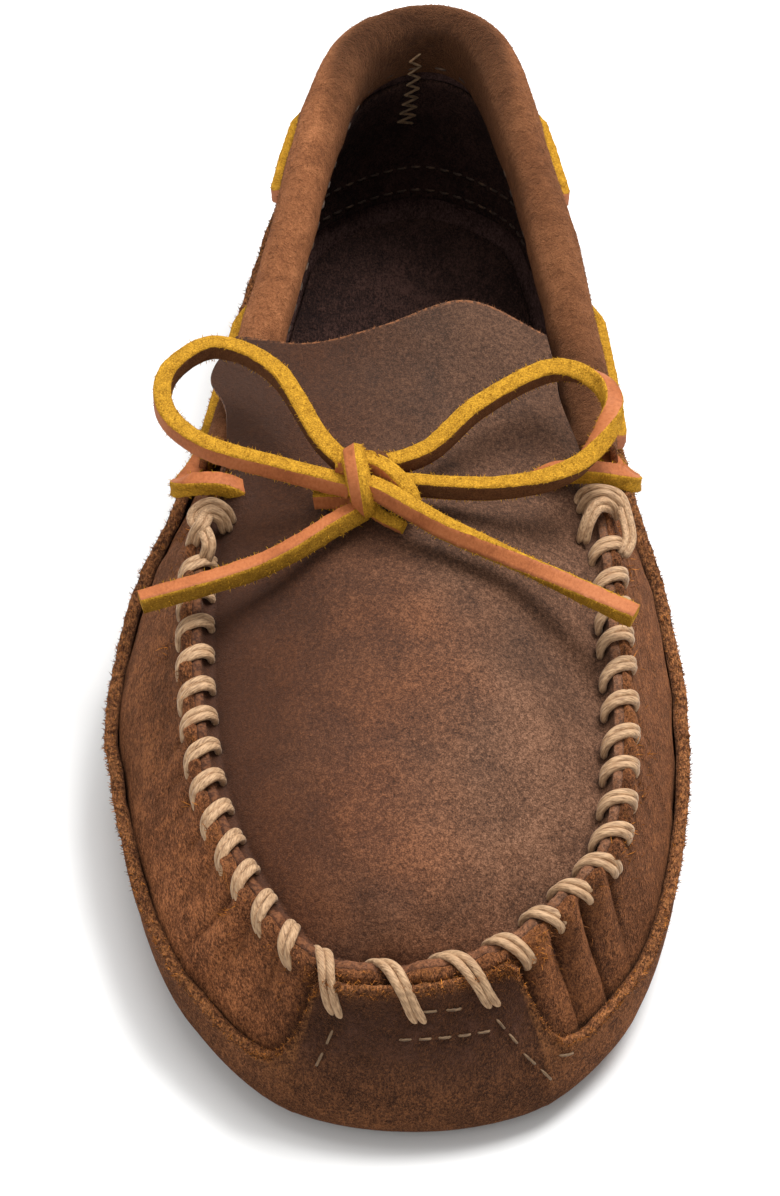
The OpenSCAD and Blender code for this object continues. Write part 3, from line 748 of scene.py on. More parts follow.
def lace(mesh, path, roll=0.0, width=4.0, thick=3.8, up=(0, 0, 1), seed=0.0, corner=0.35,
         down_painted_shade=0.0):
    """Rawhide lace along a path. roll, in degrees, turns its grain side from up to the side;
    the last argument paints shade on the cut side that is turned down and to the front."""
    side, rise = path_frames(path, up)
    s = lengths(path)
    n = len(path)
    section, kinds = lace_section(width, thick, corner)
    angle = np.radians(np.broadcast_to(np.asarray(roll, float), (n,)))[:, None]
    grain = rise * np.cos(angle) + side * np.sin(angle)
    across = side * np.cos(angle) - rise * np.sin(angle)
    x, y = section[:, 0], section[:, 1]
    rag = noise(np.stack(np.broadcast_arrays(s[:, None] + seed, x * 2, y * 2), -1), 0.9)
    on_cut = (np.abs(x) > width / 2 - 0.4).astype(float)
    swell = 1 + 0.04 * noise(np.stack([s + seed, s * 0 + 3, s * 0], -1), 6.0)[:, None]
    xs = x * swell + np.sign(x) * on_cut * 0.16 * rag
    ys = y * swell + 0.05 * rag
    points = path[:, None] + across[:, None] * xs[..., None] + grain[:, None] * ys[..., None]
    place = np.stack(np.broadcast_arrays(x, y, s[:, None] + seed), -1)
    # Painted shade on the cut side that faces down and to the front, by the last argument.
    away = unit(across[:, None] * x[:, None] + grain[:, None] * (0.3 * y)[:, None])
    turned_down = np.clip(away @ unit(np.array([0, -0.8, -0.6])), 0, 1)
    index = mesh.add(points, 1 - down_painted_shade * on_cut * turned_down, place=place)
    mesh.quads(index, closed=True, kind=np.array(kinds))
    for ring in (index[0], index[-1]):
        mesh.faces.append(tuple(ring.tolist()))
        mesh.kinds.append(CUT)
    edges = np.nonzero(on_cut)[0]
    hairs = int(s[-1] * 9)
    row = fuzz_rng.integers(2, n - 2, hairs)
    column = edges[fuzz_rng.integers(0, len(edges), hairs)]
    out = across[row] * np.sign(x[column])[:, None] + 0.4 * grain[row] * y[column][:, None]
    fuzz(mesh, points[row, column], out, length=0.9, thick=0.15, kind=CUT)


def smooth_path(table, step=0.8):
    """Points about step mm apart along the open spline through the table."""
    fine = along(table, np.linspace(0, 1, 400))
    s = lengths(fine)
    count = max(4, int(s[-1] / step))
    want = np.linspace(0, s[-1], count + 1)
    return np.stack([np.interp(want, s, fine[:, i]) for i in range(3)], -1)


STITCH_SINK = 0.35


def stitches_along(mesh, line, normal, pitch, cover=0.72, radius=0.26):
    """Machine stitches: short threads along a line of points, their ends sunk into the hide."""
    s = lengths(line)
    count = max(1, int(s[-1] / pitch))
    for k in range(count):
        f = np.linspace((k + (1 - cover) / 2) / count, (k + (1 + cover) / 2) / count, 9) * s[-1]
        p = np.stack([np.interp(f, s, line[:, i]) for i in range(3)], -1)
        n = unit(np.stack([np.interp(f, s, normal[:, i]) for i in range(3)], -1))
        lift = radius * 0.75 - (STITCH_SINK + radius) * np.abs(np.linspace(-1, 1, 9)) ** 4
        tube(mesh, p + n * lift[:, None], radius, up=n[4], segments=7, lobes=2, pitch=1.6, ply=0.12)


# -------- the seam cord
# Places of one stitch over the ridge: outward, along the seam in shares of the slant, up.
SIDE_STITCH = [(2.4, 1, -5.4), (3.0, 0.88, -3.6), (2.9, 0.6, -1.4), (1.7, 0.25, 0.15),
               (-0.2, -0.1, 0.6), (-2.0, -0.45, 0.05), (-3.4, -0.8, -1.9), (-3.6, -1, -4.6)]
TOE_STITCH = [(5.0, 1, -10.6), (6.2, 0.9, -8.9), (6.2, 0.62, -5.2), (4.4, 0.3, -1.0),
              (1.2, -0.05, 1.0), (-1.6, -0.42, 0.4), (-3.5, -0.8, -1.9), (-3.8, -1, -4.6)]
SIDE_SLANT = 2.6
TOE_SLANT = 5.4
CORD_R = 0.82
STITCH_SAMPLES = 30
HOLE_SAMPLE = 3
cord_rng = np.random.default_rng(23)


def toe_share(u):
    return 1 - smooth(0.55, 1.5, from_toe(u))


def stitch_line(k):
    """Centre line of stitch k and its direction along the seam."""
    u = stitch_u(k)
    c, o = rim(u), rim_out(u)
    a = np.array([-o[1], o[0], 0])
    toe = float(toe_share(u))
    places = lerp(np.array(SIDE_STITCH), np.array(TOE_STITCH), toe)
    slant = lerp(SIDE_SLANT * cord_rng.uniform(0.75, 1.3), TOE_SLANT, toe)
    wander = cord_rng.uniform(-0.5, 0.5, 2)
    local = along(places, np.linspace(0, 1, STITCH_SAMPLES))
    f = np.linspace(-1, 1, STITCH_SAMPLES)
    offset = local[:, 1] * slant + wander[0] + wander[1] * f
    return c + o * local[:, :1] + a * offset[:, None] + up_by(local[:, 2]), a


def dark_ends(s, depth, reach):
    """Shade along a cord, darker where its two ends go into the leather."""
    return 1 - depth * bell(s, reach) - depth * bell(s[-1] - s, reach)


whip = Mesh()
outer_holes, inner_holes = [], []
for k in STITCHES:
    line, a = stitch_line(float(k))
    outer_holes.append(line[HOLE_SAMPLE])
    inner_holes.append(line[-HOLE_SAMPLE])
    t = unit(np.gradient(line, axis=0))
    s = lengths(line)
    flat_dir = unit(a - t * (t @ a)[:, None])
    apart = lerp(0.66, 0.86, bell(np.linspace(-1, 1, len(line)), 0.6))
    for side in (-1, 1):
        jitter = 0.10 * side * np.sin(s * 0.5 + k)
        path = line + flat_dir * (side * apart + jitter)[:, None]
        path = path + up_by(cord_rng.uniform(-0.12, 0.12))
        tube(whip, path, CORD_R, up=a, segments=12, lobes=3, pitch=cord_rng.uniform(10, 16),
             flat=1.12, shade=dark_ends(s, 0.55, 1.2), ply=0.045)
whip.piece("seam_whipstitches", [M_CORD], "shoe", ["seam_whipstitch"])


def hole_shade(points, holes, size):
    """Darkens the leather round each hole."""
    dark = np.zeros(points.shape[:-1])
    for hole in holes:
        d2 = ((points - hole) ** 2).sum(-1)
        dark = np.maximum(dark, np.exp(-d2 / size ** 2))
    return 1 - 0.9 * dark


# -------- cut edge of the sole layer
TAB_RIGHT = 1.16
TAB_LEFT = 0.88
TAB_TOP = 0.975
WALL_SPAN = 55
STATION_SPAN = 20


def past_tab(u):
    """Stations beyond the top corner of the toe tab, negative on the tab."""
    return from_toe(u) - np.where(np.mod(u, SIDES) < HEEL, TAB_RIGHT, TAB_LEFT)


def sole_share(u):
    """Share of the wall where the sole layer ends: a tab with hollow sides over the toe."""
    tab = np.exp(-np.maximum(past_tab(u), 0) / 0.085) * (1 - smooth(0.3, 0.9, past_tab(u)))
    tab = tab - 0.10 * bell(past_tab(u), 0.06)
    low = share_at(u, around(SOLE_EDGE, u) + 0.6 * noise(rim(u), 9.0))
    return lerp(low, TAB_TOP, tab) + 0.004 * noise(rim(u), 1.3)


def edge_distance(u, v):
    """Distance from the sole layer's cut edge, positive on the layer: in mm, because the wall is
    about WALL_SPAN long and a station about STATION_SPAN."""
    e = 0.03
    slope = WALL_SPAN / STATION_SPAN * (sole_share(u + e) - sole_share(u - e)) / (2 * e)
    return (sole_share(u) - v) * WALL_SPAN / np.sqrt(1 + slope ** 2)


def sole_offset(u, v, base, curl=1.0):
    """Distance of the sole layer from the wrap: its cut edge curls outward beside the tab."""
    near = np.exp(-np.maximum(edge_distance(u, v), 0) / 2.4)
    bend = smooth(-0.20, 0.35, past_tab(u)) * (curl + 0.35 * noise(rim(u), 7.0))
    return base + (0.15 + bend) * near


# -------- wrap
# Columns of points round the shoe, closer together at the corners of the toe tab. The line along
# the middle of the floor ends at SPINE_END in front and behind.
N_AROUND = 800
SPINE_END = 95
HALF_AROUND = N_AROUND // 2
even_u = np.linspace(0, HEEL, 2001)
crowd = np.cumsum(1 + 4 * bell(even_u - 1.0, 0.3)) - 5
half_u = np.interp(np.linspace(0, crowd[-1], HALF_AROUND + 1), crowd - crowd[0], even_u)
half_u[-1] = HEEL
around_u = np.concatenate([half_u, SIDES - half_u[-2:0:-1]])[None, :]


def floor_fill(mesh, ring, z, shade=0.6):
    """Fills the level ring of a shell's foot in from both sides to a line along its middle."""
    a, b = floor_edge(half_u), floor_edge(-half_u)
    spine = np.stack([lerp(a[:, 0], b[:, 0], 0.5), lerp(-SPINE_END, SPINE_END, half_u / HEEL),
                      np.full(HALF_AROUND + 1, z)], -1)
    line = mesh.add(spine, shade)
    right = np.array([ring[k] for k in range(HALF_AROUND + 1)])
    left = np.array([ring[-k % N_AROUND] for k in range(HALF_AROUND + 1)])
    mesh.quads(np.stack([right, line]))
    mesh.quads(np.stack([line, left]))


def wrap_surface(u, v):
    """Outer face of the wrap with its gathers and hand-made unevenness."""
    p, n = wall(u, v), wall_normal(u, v)
    depth = rim(u)[..., 2] - p[..., 2]
    push = gathers(u, depth)
    push = push + 0.45 * noise(p, 22.0) * smooth(2, 14, depth) * smooth(6, 20, p[..., 2])
    push = push + (0.22 * noise(p, 5.0) + 0.35 * noise(p, 10.0)) * smooth(6, 20, p[..., 2])
    pinch = (1 - between(u)) * (1 - behind(u)) * np.exp(-depth / 2.2) * 0.7
    rough = 0.55 * noise(p, 2.2) + 0.35 * noise(p, 1.2)
    rough = rough * np.exp(-depth / 4.0) * (1 - behind(u))
    return p + n * (push - pinch + rough)[..., None], depth


# Rows are closer together above FINE_FROM, a share of the wall. SEAM_ROWS of the outer face are
# those that the stitch holes can reach, and RIDGE_ROWS are those of the ridge.
FINE_FROM = 0.36
SEAM_ROWS = slice(30, None)
RIDGE_ROWS = slice(52, None)
v_outer = graded((0, FINE_FROM, 8), (FINE_FROM, 1, 70))
outer, depth = wrap_surface(around_u, v_outer[:, None])
v_inner = graded((0, FINE_FROM, 4), (FINE_FROM, 1, 12))
inner = layer(around_u, v_inner[:, None], -WRAP_T)


def ridge_rise(u):
    """How far the ridge's edge stands up or down, pinched at its stitches."""
    wave = 0.6 * noise(rim(u), 3.0) + 0.4 * noise(rim(u), 1.2) - 1.2 * (1 - between(u)) + 0.5
    return wave * (1 - behind(u))


ridge_wave = ridge_rise(around_u[0])
lift = np.exp(-depth / 3.0) * ridge_wave
outer = outer + up_by(lift)
inner = inner + up_by(np.exp(-(inner[-1:, :, 2] - inner[..., 2]) / 3.0) * ridge_wave)

wrap = Mesh()
seam_zone = 1 - behind(around_u)
# Painted shade in the valleys at the stitches, between the gathers near the seam.
valley_shade = np.exp(-depth / 14) * (1 - between(around_u)) ** 3 * seam_zone
valley_shade = 1 - 0.6 * valley_shade * (1 - smooth(3.2, 5.4, from_toe(around_u)))
# Painted shade in the groove just above the sole layer's cut edge, widest beside the toe tab, and
# under that layer.
above_edge = -edge_distance(around_u, v_outer[:, None])
beside_tab = bell(past_tab(around_u) - 0.1, 0.25)
groove_shade = lerp(0.5, 0.92, beside_tab) * np.exp(-above_edge / lerp(1.0, 3.2, beside_tab))
# Painted light on the wrap's left side at the toe.
wrap_toe_left_painted_light = smooth(-12, -34, outer[..., 0]) * smooth(-66, -98, outer[..., 1])
# Painted shade on the wrap's left side and on its right side, towards the front.
wrap_left_painted_shade = smooth(-20, -40, outer[..., 0]) * (1 - wrap_toe_left_painted_light) * smooth(30, 0, outer[..., 1])
wrap_right_painted_shade = smooth(20, 40, outer[..., 0]) * smooth(20, -20, outer[..., 1])
wrap_shade = valley_shade * (1 - np.where(above_edge > 0, groove_shade, 0.9))
wrap_shade = wrap_shade * (1 + 0.55 * wrap_toe_left_painted_light - 0.192 * wrap_left_painted_shade - 0.30 * wrap_right_painted_shade)
wrap_shade[SEAM_ROWS] *= hole_shade(outer[SEAM_ROWS], outer_holes, 1.5)
raw_spots = smooth(-0.15, 0.45, noise(outer, 5.0) + 0.3 * noise(outer, 1.5))
toe_more = 1 - 0.5 * smooth(1.5, 3.5, from_toe(around_u))
raw_near = bell(depth - 1.8, 1.8) * raw_spots * seam_zone * toe_more
t = wrap.add(outer, wrap_shade, raw_near)
b = wrap.add(inner)
wrap.quads(t, closed=True)
wrap.quads(b, closed=True, kind=1)
wrap.cut_edge(t[-1], b[-1], outer[-1], inner[-1], up_by(0.8), 0.25, shade=0.75,
              raw=0.12 + 0.35 * raw_spots[-1])
floor_fill(wrap, t[0], SOLE_T)
floor_fill(wrap, b[0], SOLE_T + WRAP_T)


def edge_rows(p, q):
    """Three rows of places across a cut edge."""
    return np.stack([lerp(p, q, f) for f in (0.3, 0.6, 0.9)])


ridge_face = np.concatenate([outer[RIDGE_ROWS], edge_rows(outer[-1], inner[-1])])
ridge_away = np.broadcast_to(up_by(0.7) + rim_out(around_u), ridge_face.shape)
ridge_raw = np.concatenate([raw_near[RIDGE_ROWS], np.repeat(0.35 + 0.65 * raw_spots[-1:], 3, 0)])
ridge_raw = (0.12 + 0.9 * ridge_raw) * seam_zone * toe_more
fuzz(wrap, *scatter(ridge_face, ridge_away, 6400, ridge_raw), length=1.9, thick=0.2, raw=1.5)
tufts = smooth(0.30, 0.62, noise(ridge_face, 6.0)) * seam_zone * toe_more
fuzz(wrap, *scatter(ridge_face, ridge_away, 9000, tufts), length=2.6, thick=0.24, spread=1.1,
     raw=2.2)
wrap.piece("wrap", [M_WRAP, M_INSIDE], "shoe", ["upper_wrap"])

# -------- second sole layer
# SOLE_IN is the gap from the wrap to the inner face; TAB_ROWS are those that holes can reach.
SOLE_IN = 0.375
TAB_ROWS = slice(20, None)
v = graded((0, 0.6, 22), (0.6, 1, 34))[:, None] * sole_share(around_u)
face, away = wall(around_u, v), wall_normal(around_u, v)
depth = rim(around_u)[..., 2] - face[..., 2]
bumps = 0.35 * noise(face, 16.0) + 0.12 * noise(face, 4.0)
bumps = bumps * smooth(1.0, 8.0, face[..., 2])
follow = gathers(around_u, depth) * 0.35 * (1 - smooth(0, 10, depth))
edge_near = bell(edge_distance(around_u, v), 2.0)
rough_edge = 0.25 * noise(face, 1.4) * edge_near
out_d = sole_offset(around_u, v, SOLE_T, 1.2) + bumps * 0.8 + follow + rough_edge
in_d = sole_offset(around_u, v, SOLE_IN, -0.1) + follow * 0.5
sole_out = face + away * out_d[..., None]
sole_in = (face + away * in_d[..., None])[::5]
sole_out[..., 2] = np.maximum(sole_out[..., 2], 0)
sole = Mesh()
tab_zone = 1 - smooth(-0.12, 0.0, past_tab(around_u))
# Painted shade on the toe tab; hole_shade paints shade round the stitch holes.
sole_shade = (1 - 0.22 * (1 - smooth(0.0, 0.5, past_tab(around_u)))) * np.ones(depth.shape)
waxed_tab = 1.25 * (1 - smooth(-0.1, 0.4, past_tab(around_u))) * (1 - edge_near)
waxed_tab = waxed_tab * smooth(26, 8, depth + 4 * noise(face, 9.0))
sole_shade[TAB_ROWS] *= hole_shade(sole_out[TAB_ROWS], outer_holes, 1.7)
t = sole.add(sole_out, sole_shade, edge_near * (1 - 0.3 * tab_zone), waxed_tab)
b = sole.add(sole_in, 0.35)
sole.quads(t, closed=True)
sole.quads(b, closed=True)
rim_up = unit(sole_out[-1] - sole_out[-3])
sole.cut_edge(t[-1], b[-1], sole_out[-1], sole_in[-1], rim_up * 0.6, 0.18, 0.9)
floor_fill(sole, t[0], 0.0, 1.0)
floor_fill(sole, b[0], SOLE_T - SOLE_IN)
lip_face = np.concatenate([sole_out[-5:], edge_rows(sole_out[-1], sole_in[-1]) + rim_up * 0.4])
lip_away = np.broadcast_to(rim_up + 0.9 * away[-1], lip_face.shape)
fuzz(sole, *scatter(lip_face, lip_away, 6400), length=1.2, thick=0.2, raw=1.9)
sole.piece("second_sole", [M_SOLE], "shoe", ["outer_sole"])

# -------- plug and tongue
# The lip begins at LIP_AT of the half width.
LIP_AT = 0.82
TONGUE = np.array([
    [[-32.3, -11.9, 61.2], [-15, -9.8, 66], [2, -7.7, 67.5], [19, -8.1, 66], [35.3, -8.5, 61.2]],
    [[-36, 2, 65.2], [-17, 2, 68.5], [0, 2, 71], [18, 2, 70], [34, 2, 66]],
    [[-41, 12, 66.6], [-21, 11, 69.5], [-3, 11, 73], [16, 12, 75], [33, 11, 70]],
    [[-36, 22.5, 69], [-20, 17.5, 72], [-4, 18.5, 76.5], [14, 23, 80], [31, 18.5, 74]]])


def plug_surface(f, c):
    """Upper face of the plug: f from 0 at the toe to 1 at the throat, c from -1 to 1 across."""
    u = np.sign(c) * f * PLUG_END
    u = np.where(c == 0, f * PLUG_END, u)
    ft = from_toe(u) / PLUG_END
    up = 1 - smooth(SEAM_END - 0.1, PLUG_END, from_toe(u))
    edge, w = rim(u), -rim_out(u)
    crown = lerp(49, 67.5, ft * (2 - ft) * smooth(-0.12, 0.30, ft))
    middle = np.stack([2 + 0 * ft, lerp(-110, HINGE_Y, ft), crown], -1)
    foot = edge + w * lerp(7, 4.2, up)[..., None] + up_by(lerp(1.2, -3.8, up))
    gap = 0.15 + 3.6 * behind(u)
    top = edge + w * (gap + lerp(0.8, PLUG_T, up) - 0.6)[..., None]
    r = np.clip(np.abs(c) / LIP_AT, 0, 1)[..., None]
    dome = np.concatenate([lerp(middle, foot, r)[..., :2],
                           lerp(middle[..., 2:], foot[..., 2:], r * r)], -1)
    lip = np.clip((np.abs(c) - LIP_AT) / (1 - LIP_AT), 0, 1)
    across = lerp(lip, np.sin(lip * math.pi / 2), up)[..., None]
    rise = lerp(lip, 1 - np.cos(lip * math.pi / 2), up)[..., None]
    turned = np.concatenate([lerp(foot, top, across)[..., :2],
                             lerp(foot[..., 2:], top[..., 2:], rise)], -1)
    p = np.where(lip[..., None] > 0, turned, dome)
    p = p + up_by(ridge_rise(u) * lip ** 2)
    fold = smooth(4.6, 5.6, from_toe(u)) * bell(np.abs(c) - LIP_AT + 0.03, 0.12)
    return p + up_by(1.5 * fold)


def tongue_surface(a, c):
    """Upper face of the tongue: a from 0 at the throat to 1 at its edge, c from -1 to 1 across."""
    b = (c + 1) / 2
    rows = np.stack([along(TONGUE[i], b[0]) for i in range(4)])
    return along(rows, a[:, 0])


plug_f = np.linspace(0, 1, 226)[:, None]
cross_c = graded((-1, -LIP_AT, 15), (-LIP_AT, LIP_AT, 136), (LIP_AT, 1, 16))[None, :]
toward_throat, toward_side = np.broadcast_arrays(plug_f, cross_c)
plug_top = plug_surface(toward_throat, toward_side)


def powers(p):
    """Terms of a smooth height over the plug's plan."""
    x, y = (p[..., 0] - 2) / 50, (p[..., 1] + 65) / 65
    return np.stack([x ** i * y ** j for i in range(7) for j in range(8) if i + j < 9], -1)


dome_columns = np.abs(cross_c[0]) < LIP_AT
dome = plug_top[:, dome_columns].reshape(-1, 3)
evened = powers(plug_top) @ np.linalg.lstsq(powers(dome), dome[:, 2], rcond=1e-9)[0]
middle_share = smooth(1.0, 0.55, np.abs(toward_side) / LIP_AT) * smooth(1.0, 0.9, toward_throat)
plug_top[..., 2] = lerp(plug_top[..., 2], evened, middle_share)
tongue_a = np.linspace(0, 1, 47)[1:, None]
tongue_top = tongue_surface(tongue_a, cross_c)
first = tongue_surface(np.zeros((1, 1)), cross_c)[0]
tongue_top = tongue_top + (plug_top[-1] - first) * (1 - smooth(0, 0.55, tongue_a))[..., None]
top = np.concatenate([plug_top, tongue_top])


def dent(points, start, end, width):
    """0 to 1 closeness of points to the straight line from start to end, seen from above."""
    s, e = np.array(start, float), np.array(end, float)
    d = e - s
    f = np.clip(((points[..., :2] - s) @ d) / (d @ d), 0, 1)
    off = np.linalg.norm(points[..., :2] - (s + f[..., None] * d), axis=-1)
    return bell(off, width) * np.sqrt(np.clip(4 * f * (1 - f), 0.05, 1))


inside = np.broadcast_to(smooth(1.0, 0.7, np.abs(cross_c)), top.shape[:-1])
swell = 0.55 * noise(top, 24.0) + 0.18 * noise(top, 8.0)
crease = dent(top, (12, -48), (42, -74), 7.0)
left_crease = dent(top, (-30, -32), (-18, -60), 6.0)
top = top + up_by((swell - 1.3 * crease - 0.6 * left_crease) * inside)
normals = grid_normals(top)
normals = normals * np.sign(normals[..., 2:].mean())
upright = (smooth(0.14, 0.05, toward_throat) * smooth(LIP_AT, 0.6, np.abs(toward_side)))[..., None]
normals[:len(plug_f)] = unit(lerp(normals[:len(plug_f)], up_by(1), upright))
normals[0] = unit(normals[0] + normals[0][::-1])
bottom = top - normals * PLUG_T
# Painted shade in the two creases, round the stitch holes and in the fold along the lip.
plug_shade = 1 - 0.30 * crease - 0.25 * left_crease
plug_shade = plug_shade * hole_shade(top, inner_holes, 1.4)
lip_zone = np.clip((np.abs(toward_side) - LIP_AT) / (1 - LIP_AT), 0, 1)
before_throat = 1 - behind(toward_throat * PLUG_END)
plug_shade[:len(plug_f)] *= 1 - 0.18 * bell(np.abs(toward_side) - LIP_AT, 0.05) * before_throat
raw_top = np.zeros(top.shape[:-1])
raw_top[-1] = 0.9
raw_top[:len(plug_f)] = np.clip(lip_zone * 3 - 2, 0, 1) * before_throat * 0.15
plug = Mesh()


def bare_edge(ring):
    """The plug's cut edge is palest along the tongue."""
    return lerp(0.35, 1.0, smooth(-20, 0, ring[:, 1]))


plug.sheet(top, bottom, shade=plug_shade, raw_top=raw_top, open_start=True, raw=bare_edge)
seam_rows = int(0.93 * len(plug_f))
for columns in (slice(0, 3), slice(-3, None)):
    lip_face = top[:seam_rows, columns]
    fuzz(plug, *scatter(lip_face, np.broadcast_to(up_by(1), lip_face.shape), 420), length=1.0)
tongue_edge = np.stack([top[-1], bottom[-1]])
tongue_away = np.broadcast_to([0, 1.0, 0.3], tongue_edge.shape)
fuzz(plug, *scatter(tongue_edge, tongue_away, 520), length=0.9, raw=1.3)
plug_obj = plug.piece("plug_and_tongue", [M_WAXED], None, ["plug", "tongue"],
                      weld=0.02)
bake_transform(plug_obj)

# -------- collar
# COLLAR_ROWS go across it from the outer flap; OUTER_ROWS are those outside and on the fold.
COLLAR_FRONT = 6.52
COLLAR_ROWS = 66
OUTER_ROWS = slice(0, 36)
ROLL_HALF = 5.3
COLLAR_INSIDE = -WRAP_T - COLLAR_GAP - COLLAR_T


def collar_profile(u):
    """Places across the collar's outer face, from its outer flap over the fold to the inner."""
    c, o = rim(u), rim_out(u)
    w = ROLL_HALF

    def at(out, down):
        return c + o * out - up_by(down)
    return np.stack([on_wall(u, 15, COLLAR_GAP + COLLAR_T), at(w + 0.35, 10.5), at(w, 6.0),
                     at(w - 1.1, 1.2), at(0, -1.5), at(1.1 - w, 1.2), at(-w, 6.0),
                     on_wall(u, 10, -WRAP_T - 0.2 - COLLAR_GAP - COLLAR_T),
                     on_wall(u, 13, COLLAR_INSIDE)])


collar_u = np.linspace(COLLAR_FRONT, SIDES - COLLAR_FRONT, 340)
collar_out = along(collar_profile(collar_u), np.linspace(0, 1, COLLAR_ROWS))
swell = 0.7 * noise(collar_out, 22.0) + 0.35 * noise(collar_out, 8.0) + 0.12 * noise(collar_out, 2.5)
collar_away = grid_normals(collar_out)
if collar_away[COLLAR_ROWS // 2, :, 2].sum() < 0:
    collar_away = -collar_away
collar_out = collar_out + collar_away * (swell * 0.8)[..., None]
collar_in = collar_out - collar_away * COLLAR_T
collar = Mesh()
# The collar's shade value: painted light on its left and painted shade on its right, and darker
# towards its front ends.
collar_right_painted_shade = smooth(-15, 25, collar_out[..., 0]) * smooth(140, 100, collar_out[..., 1])
across_fold = np.linspace(0, 1, COLLAR_ROWS)[:, None]
toward_heel = smooth(8.0, 9.8, from_toe(collar_u))
# Painted shade on the inside of the roll at the heel.
heel_inside_painted_shade = smooth(0, 1, (across_fold - lerp(0.58, 0.37, toward_heel)) / 0.12) * toward_heel
front_end = smooth(7.5, 6.8, from_toe(collar_u)) * np.ones(across_fold.shape)
collar_shade = (1.12 - 0.50 * collar_right_painted_shade) * (1 - 0.84 * heel_inside_painted_shade) * (1 - 0.45 * front_end)
collar.sheet(collar_out, collar_in, raw=0.8, shade=collar_shade, under_shade=0.4)
fuzz(collar, *scatter(collar_out[OUTER_ROWS], collar_away[OUTER_ROWS], 4200), length=0.7,
     thick=0.13, raw=0.3, shade=0.7)
collar.piece("collar_roll", [M_COLLAR], "shoe", ["collar"])

# -------- inside the shoe
COUNTER_T = 1.4
COUNTER_GAP = 0.4
counter_u = np.linspace(HEEL - 1.75, HEEL + 1.75, 90)[None, :]
counter_top = share_at(counter_u, rim(counter_u)[..., 2] - 17)
counter_v = lerp(0.26, counter_top, np.linspace(0, 1, 40)[:, None])
counter_d = -WRAP_T - COUNTER_GAP
counter_face = layer(counter_u, counter_v, counter_d - COUNTER_T)
counter_back = layer(counter_u, counter_v, counter_d)
counter = Mesh()
counter.sheet(counter_face, counter_back, bulge=0.3, raw=0.4)
counter.piece("heel_counter_patch", [M_LINING], "shoe", ["heel_counter"])

FLOOR_IN = SOLE_T + WRAP_T + AIR
LEVEL_FLOOR = [[x, y, 0] for x, y in FLOOR]


def footbed(name, material, low, high, margin, node, dome=0.0):
    """A pad on the shoe's floor, crowned a little and rounded at its edge."""
    mesh = Mesh()
    u = np.linspace(0, SIDES, 240, endpoint=False)
    o = sideways(LEVEL_FLOOR, u)
    edge = around(LEVEL_FLOOR, u) + o * margin
    mid = np.stack([lerp(around(LEVEL_FLOOR, u)[:, 0], around(LEVEL_FLOOR, -u)[:, 0], 0.5),
                    np.clip(edge[:, 1], -SPINE_END, SPINE_END), 0 * u], -1)
    rows = 1 - (1 - np.linspace(0, 1, 22)[:, None, None]) ** 1.6
    flat = lerp(mid, edge, rows)
    crown = dome * (1 - rows[..., 0] ** 2)
    top = flat + up_by(high + crown + 0.15 * noise(flat, 9.0) * (rows[..., 0] < 1))
    under = flat + up_by(low)
    a = mesh.add(top)
    b = mesh.add(under, 0.5)
    mesh.quads(a, closed=True)
    mesh.quads(b, closed=True)
    mesh.cut_edge(a[-1], b[-1], top[-1], under[-1], o * 0.3 * (high - low), raw=0.4)
    mesh.piece(name, [material], "shoe", [node], weld=0.01)


footbed("foam_footbed", M_FOAM, FLOOR_IN, FLOOR_IN + 3, -0.4, "foam_pad")
footbed("sock_lining", M_LINING, FLOOR_IN + 3.15, FLOOR_IN + 4.55, 0.6,
        "sock_liner", 0.6)

# -------- laces
# Each bow lace starts inside the knot. Its roll turns the grain side: 0 up, 90 and -90 sideways.
LEFT_LOOP = [[-9.6, -25.6, 75], [-16.5, -17.5, 76.2], [-26.5, 0, 79], [-39.5, 6.5, 80],
             [-49, -0.5, 78.5], [-49, -11, 76.8], [-40.5, -19, 75], [-24.5, -24.5, 74.2],
             [-9.8, -29, 73.5]]
RIGHT_LOOP = [[-5.5, -24.6, 74.4], [6, -19.5, 75], [16.5, -9.5, 78.5], [31.5, 0.5, 80],
              [42, -1.5, 78.5], [44.5, -10, 77], [37, -22, 73.5], [21, -27.3, 72.2],
              [-3.0, -27.0, 72.8]]
LEFT_TAIL = [[-7.2, -32.6, 70.6], [-13, -36.2, 69.6], [-22, -41.6, 67], [-32, -45.6, 64.6],
             [-52.5, -52, 62]]
RIGHT_TAIL = [[-6.2, -31.4, 76.2], [-2.4, -33.3, 75.8], [3.5, -36.3, 74], [11, -39.4, 71.4],
              [24, -43.6, 67.6], [49, -55, 63]]


def lace_piece(name, table, rolls, body, stands_for, seed, down_painted_shade=0.0):
    """A lace along the spline through the table, its roll given at even steps."""
    mesh = Mesh()
    path = smooth_path(table)
    roll = along(rolls, np.linspace(0, 1, len(path)))
    lace(mesh, path, roll, seed=seed, down_painted_shade=down_painted_shade)
    mesh.piece(name, LACE_MATERIALS, body, [stands_for], auto=50)


lace_piece("bow_loop_left_lace", LEFT_LOOP, [75, 82, 88, 90, 90, 90, 88, 84, 80], "left_loop",
           "bow_loop_left", 0)
lace_piece("bow_loop_right_lace", RIGHT_LOOP, [-90, -90, -84, -72, -20, 55, 88, 96, 100],
           "right_loop", "bow_loop_right", 40)
# The tails' last argument paints shade on their cut sides that face down and to the front.
lace_piece("lace_tail_left_end", LEFT_TAIL, [20, 12, 4, 2, 6], "left_tail", "lace_tail_left", 80,
           0.62)
lace_piece("lace_tail_right_end", RIGHT_TAIL, [80, 76, 62, 40, 18, 6], "right_tail",
           "lace_tail_right", 120, 0.45)

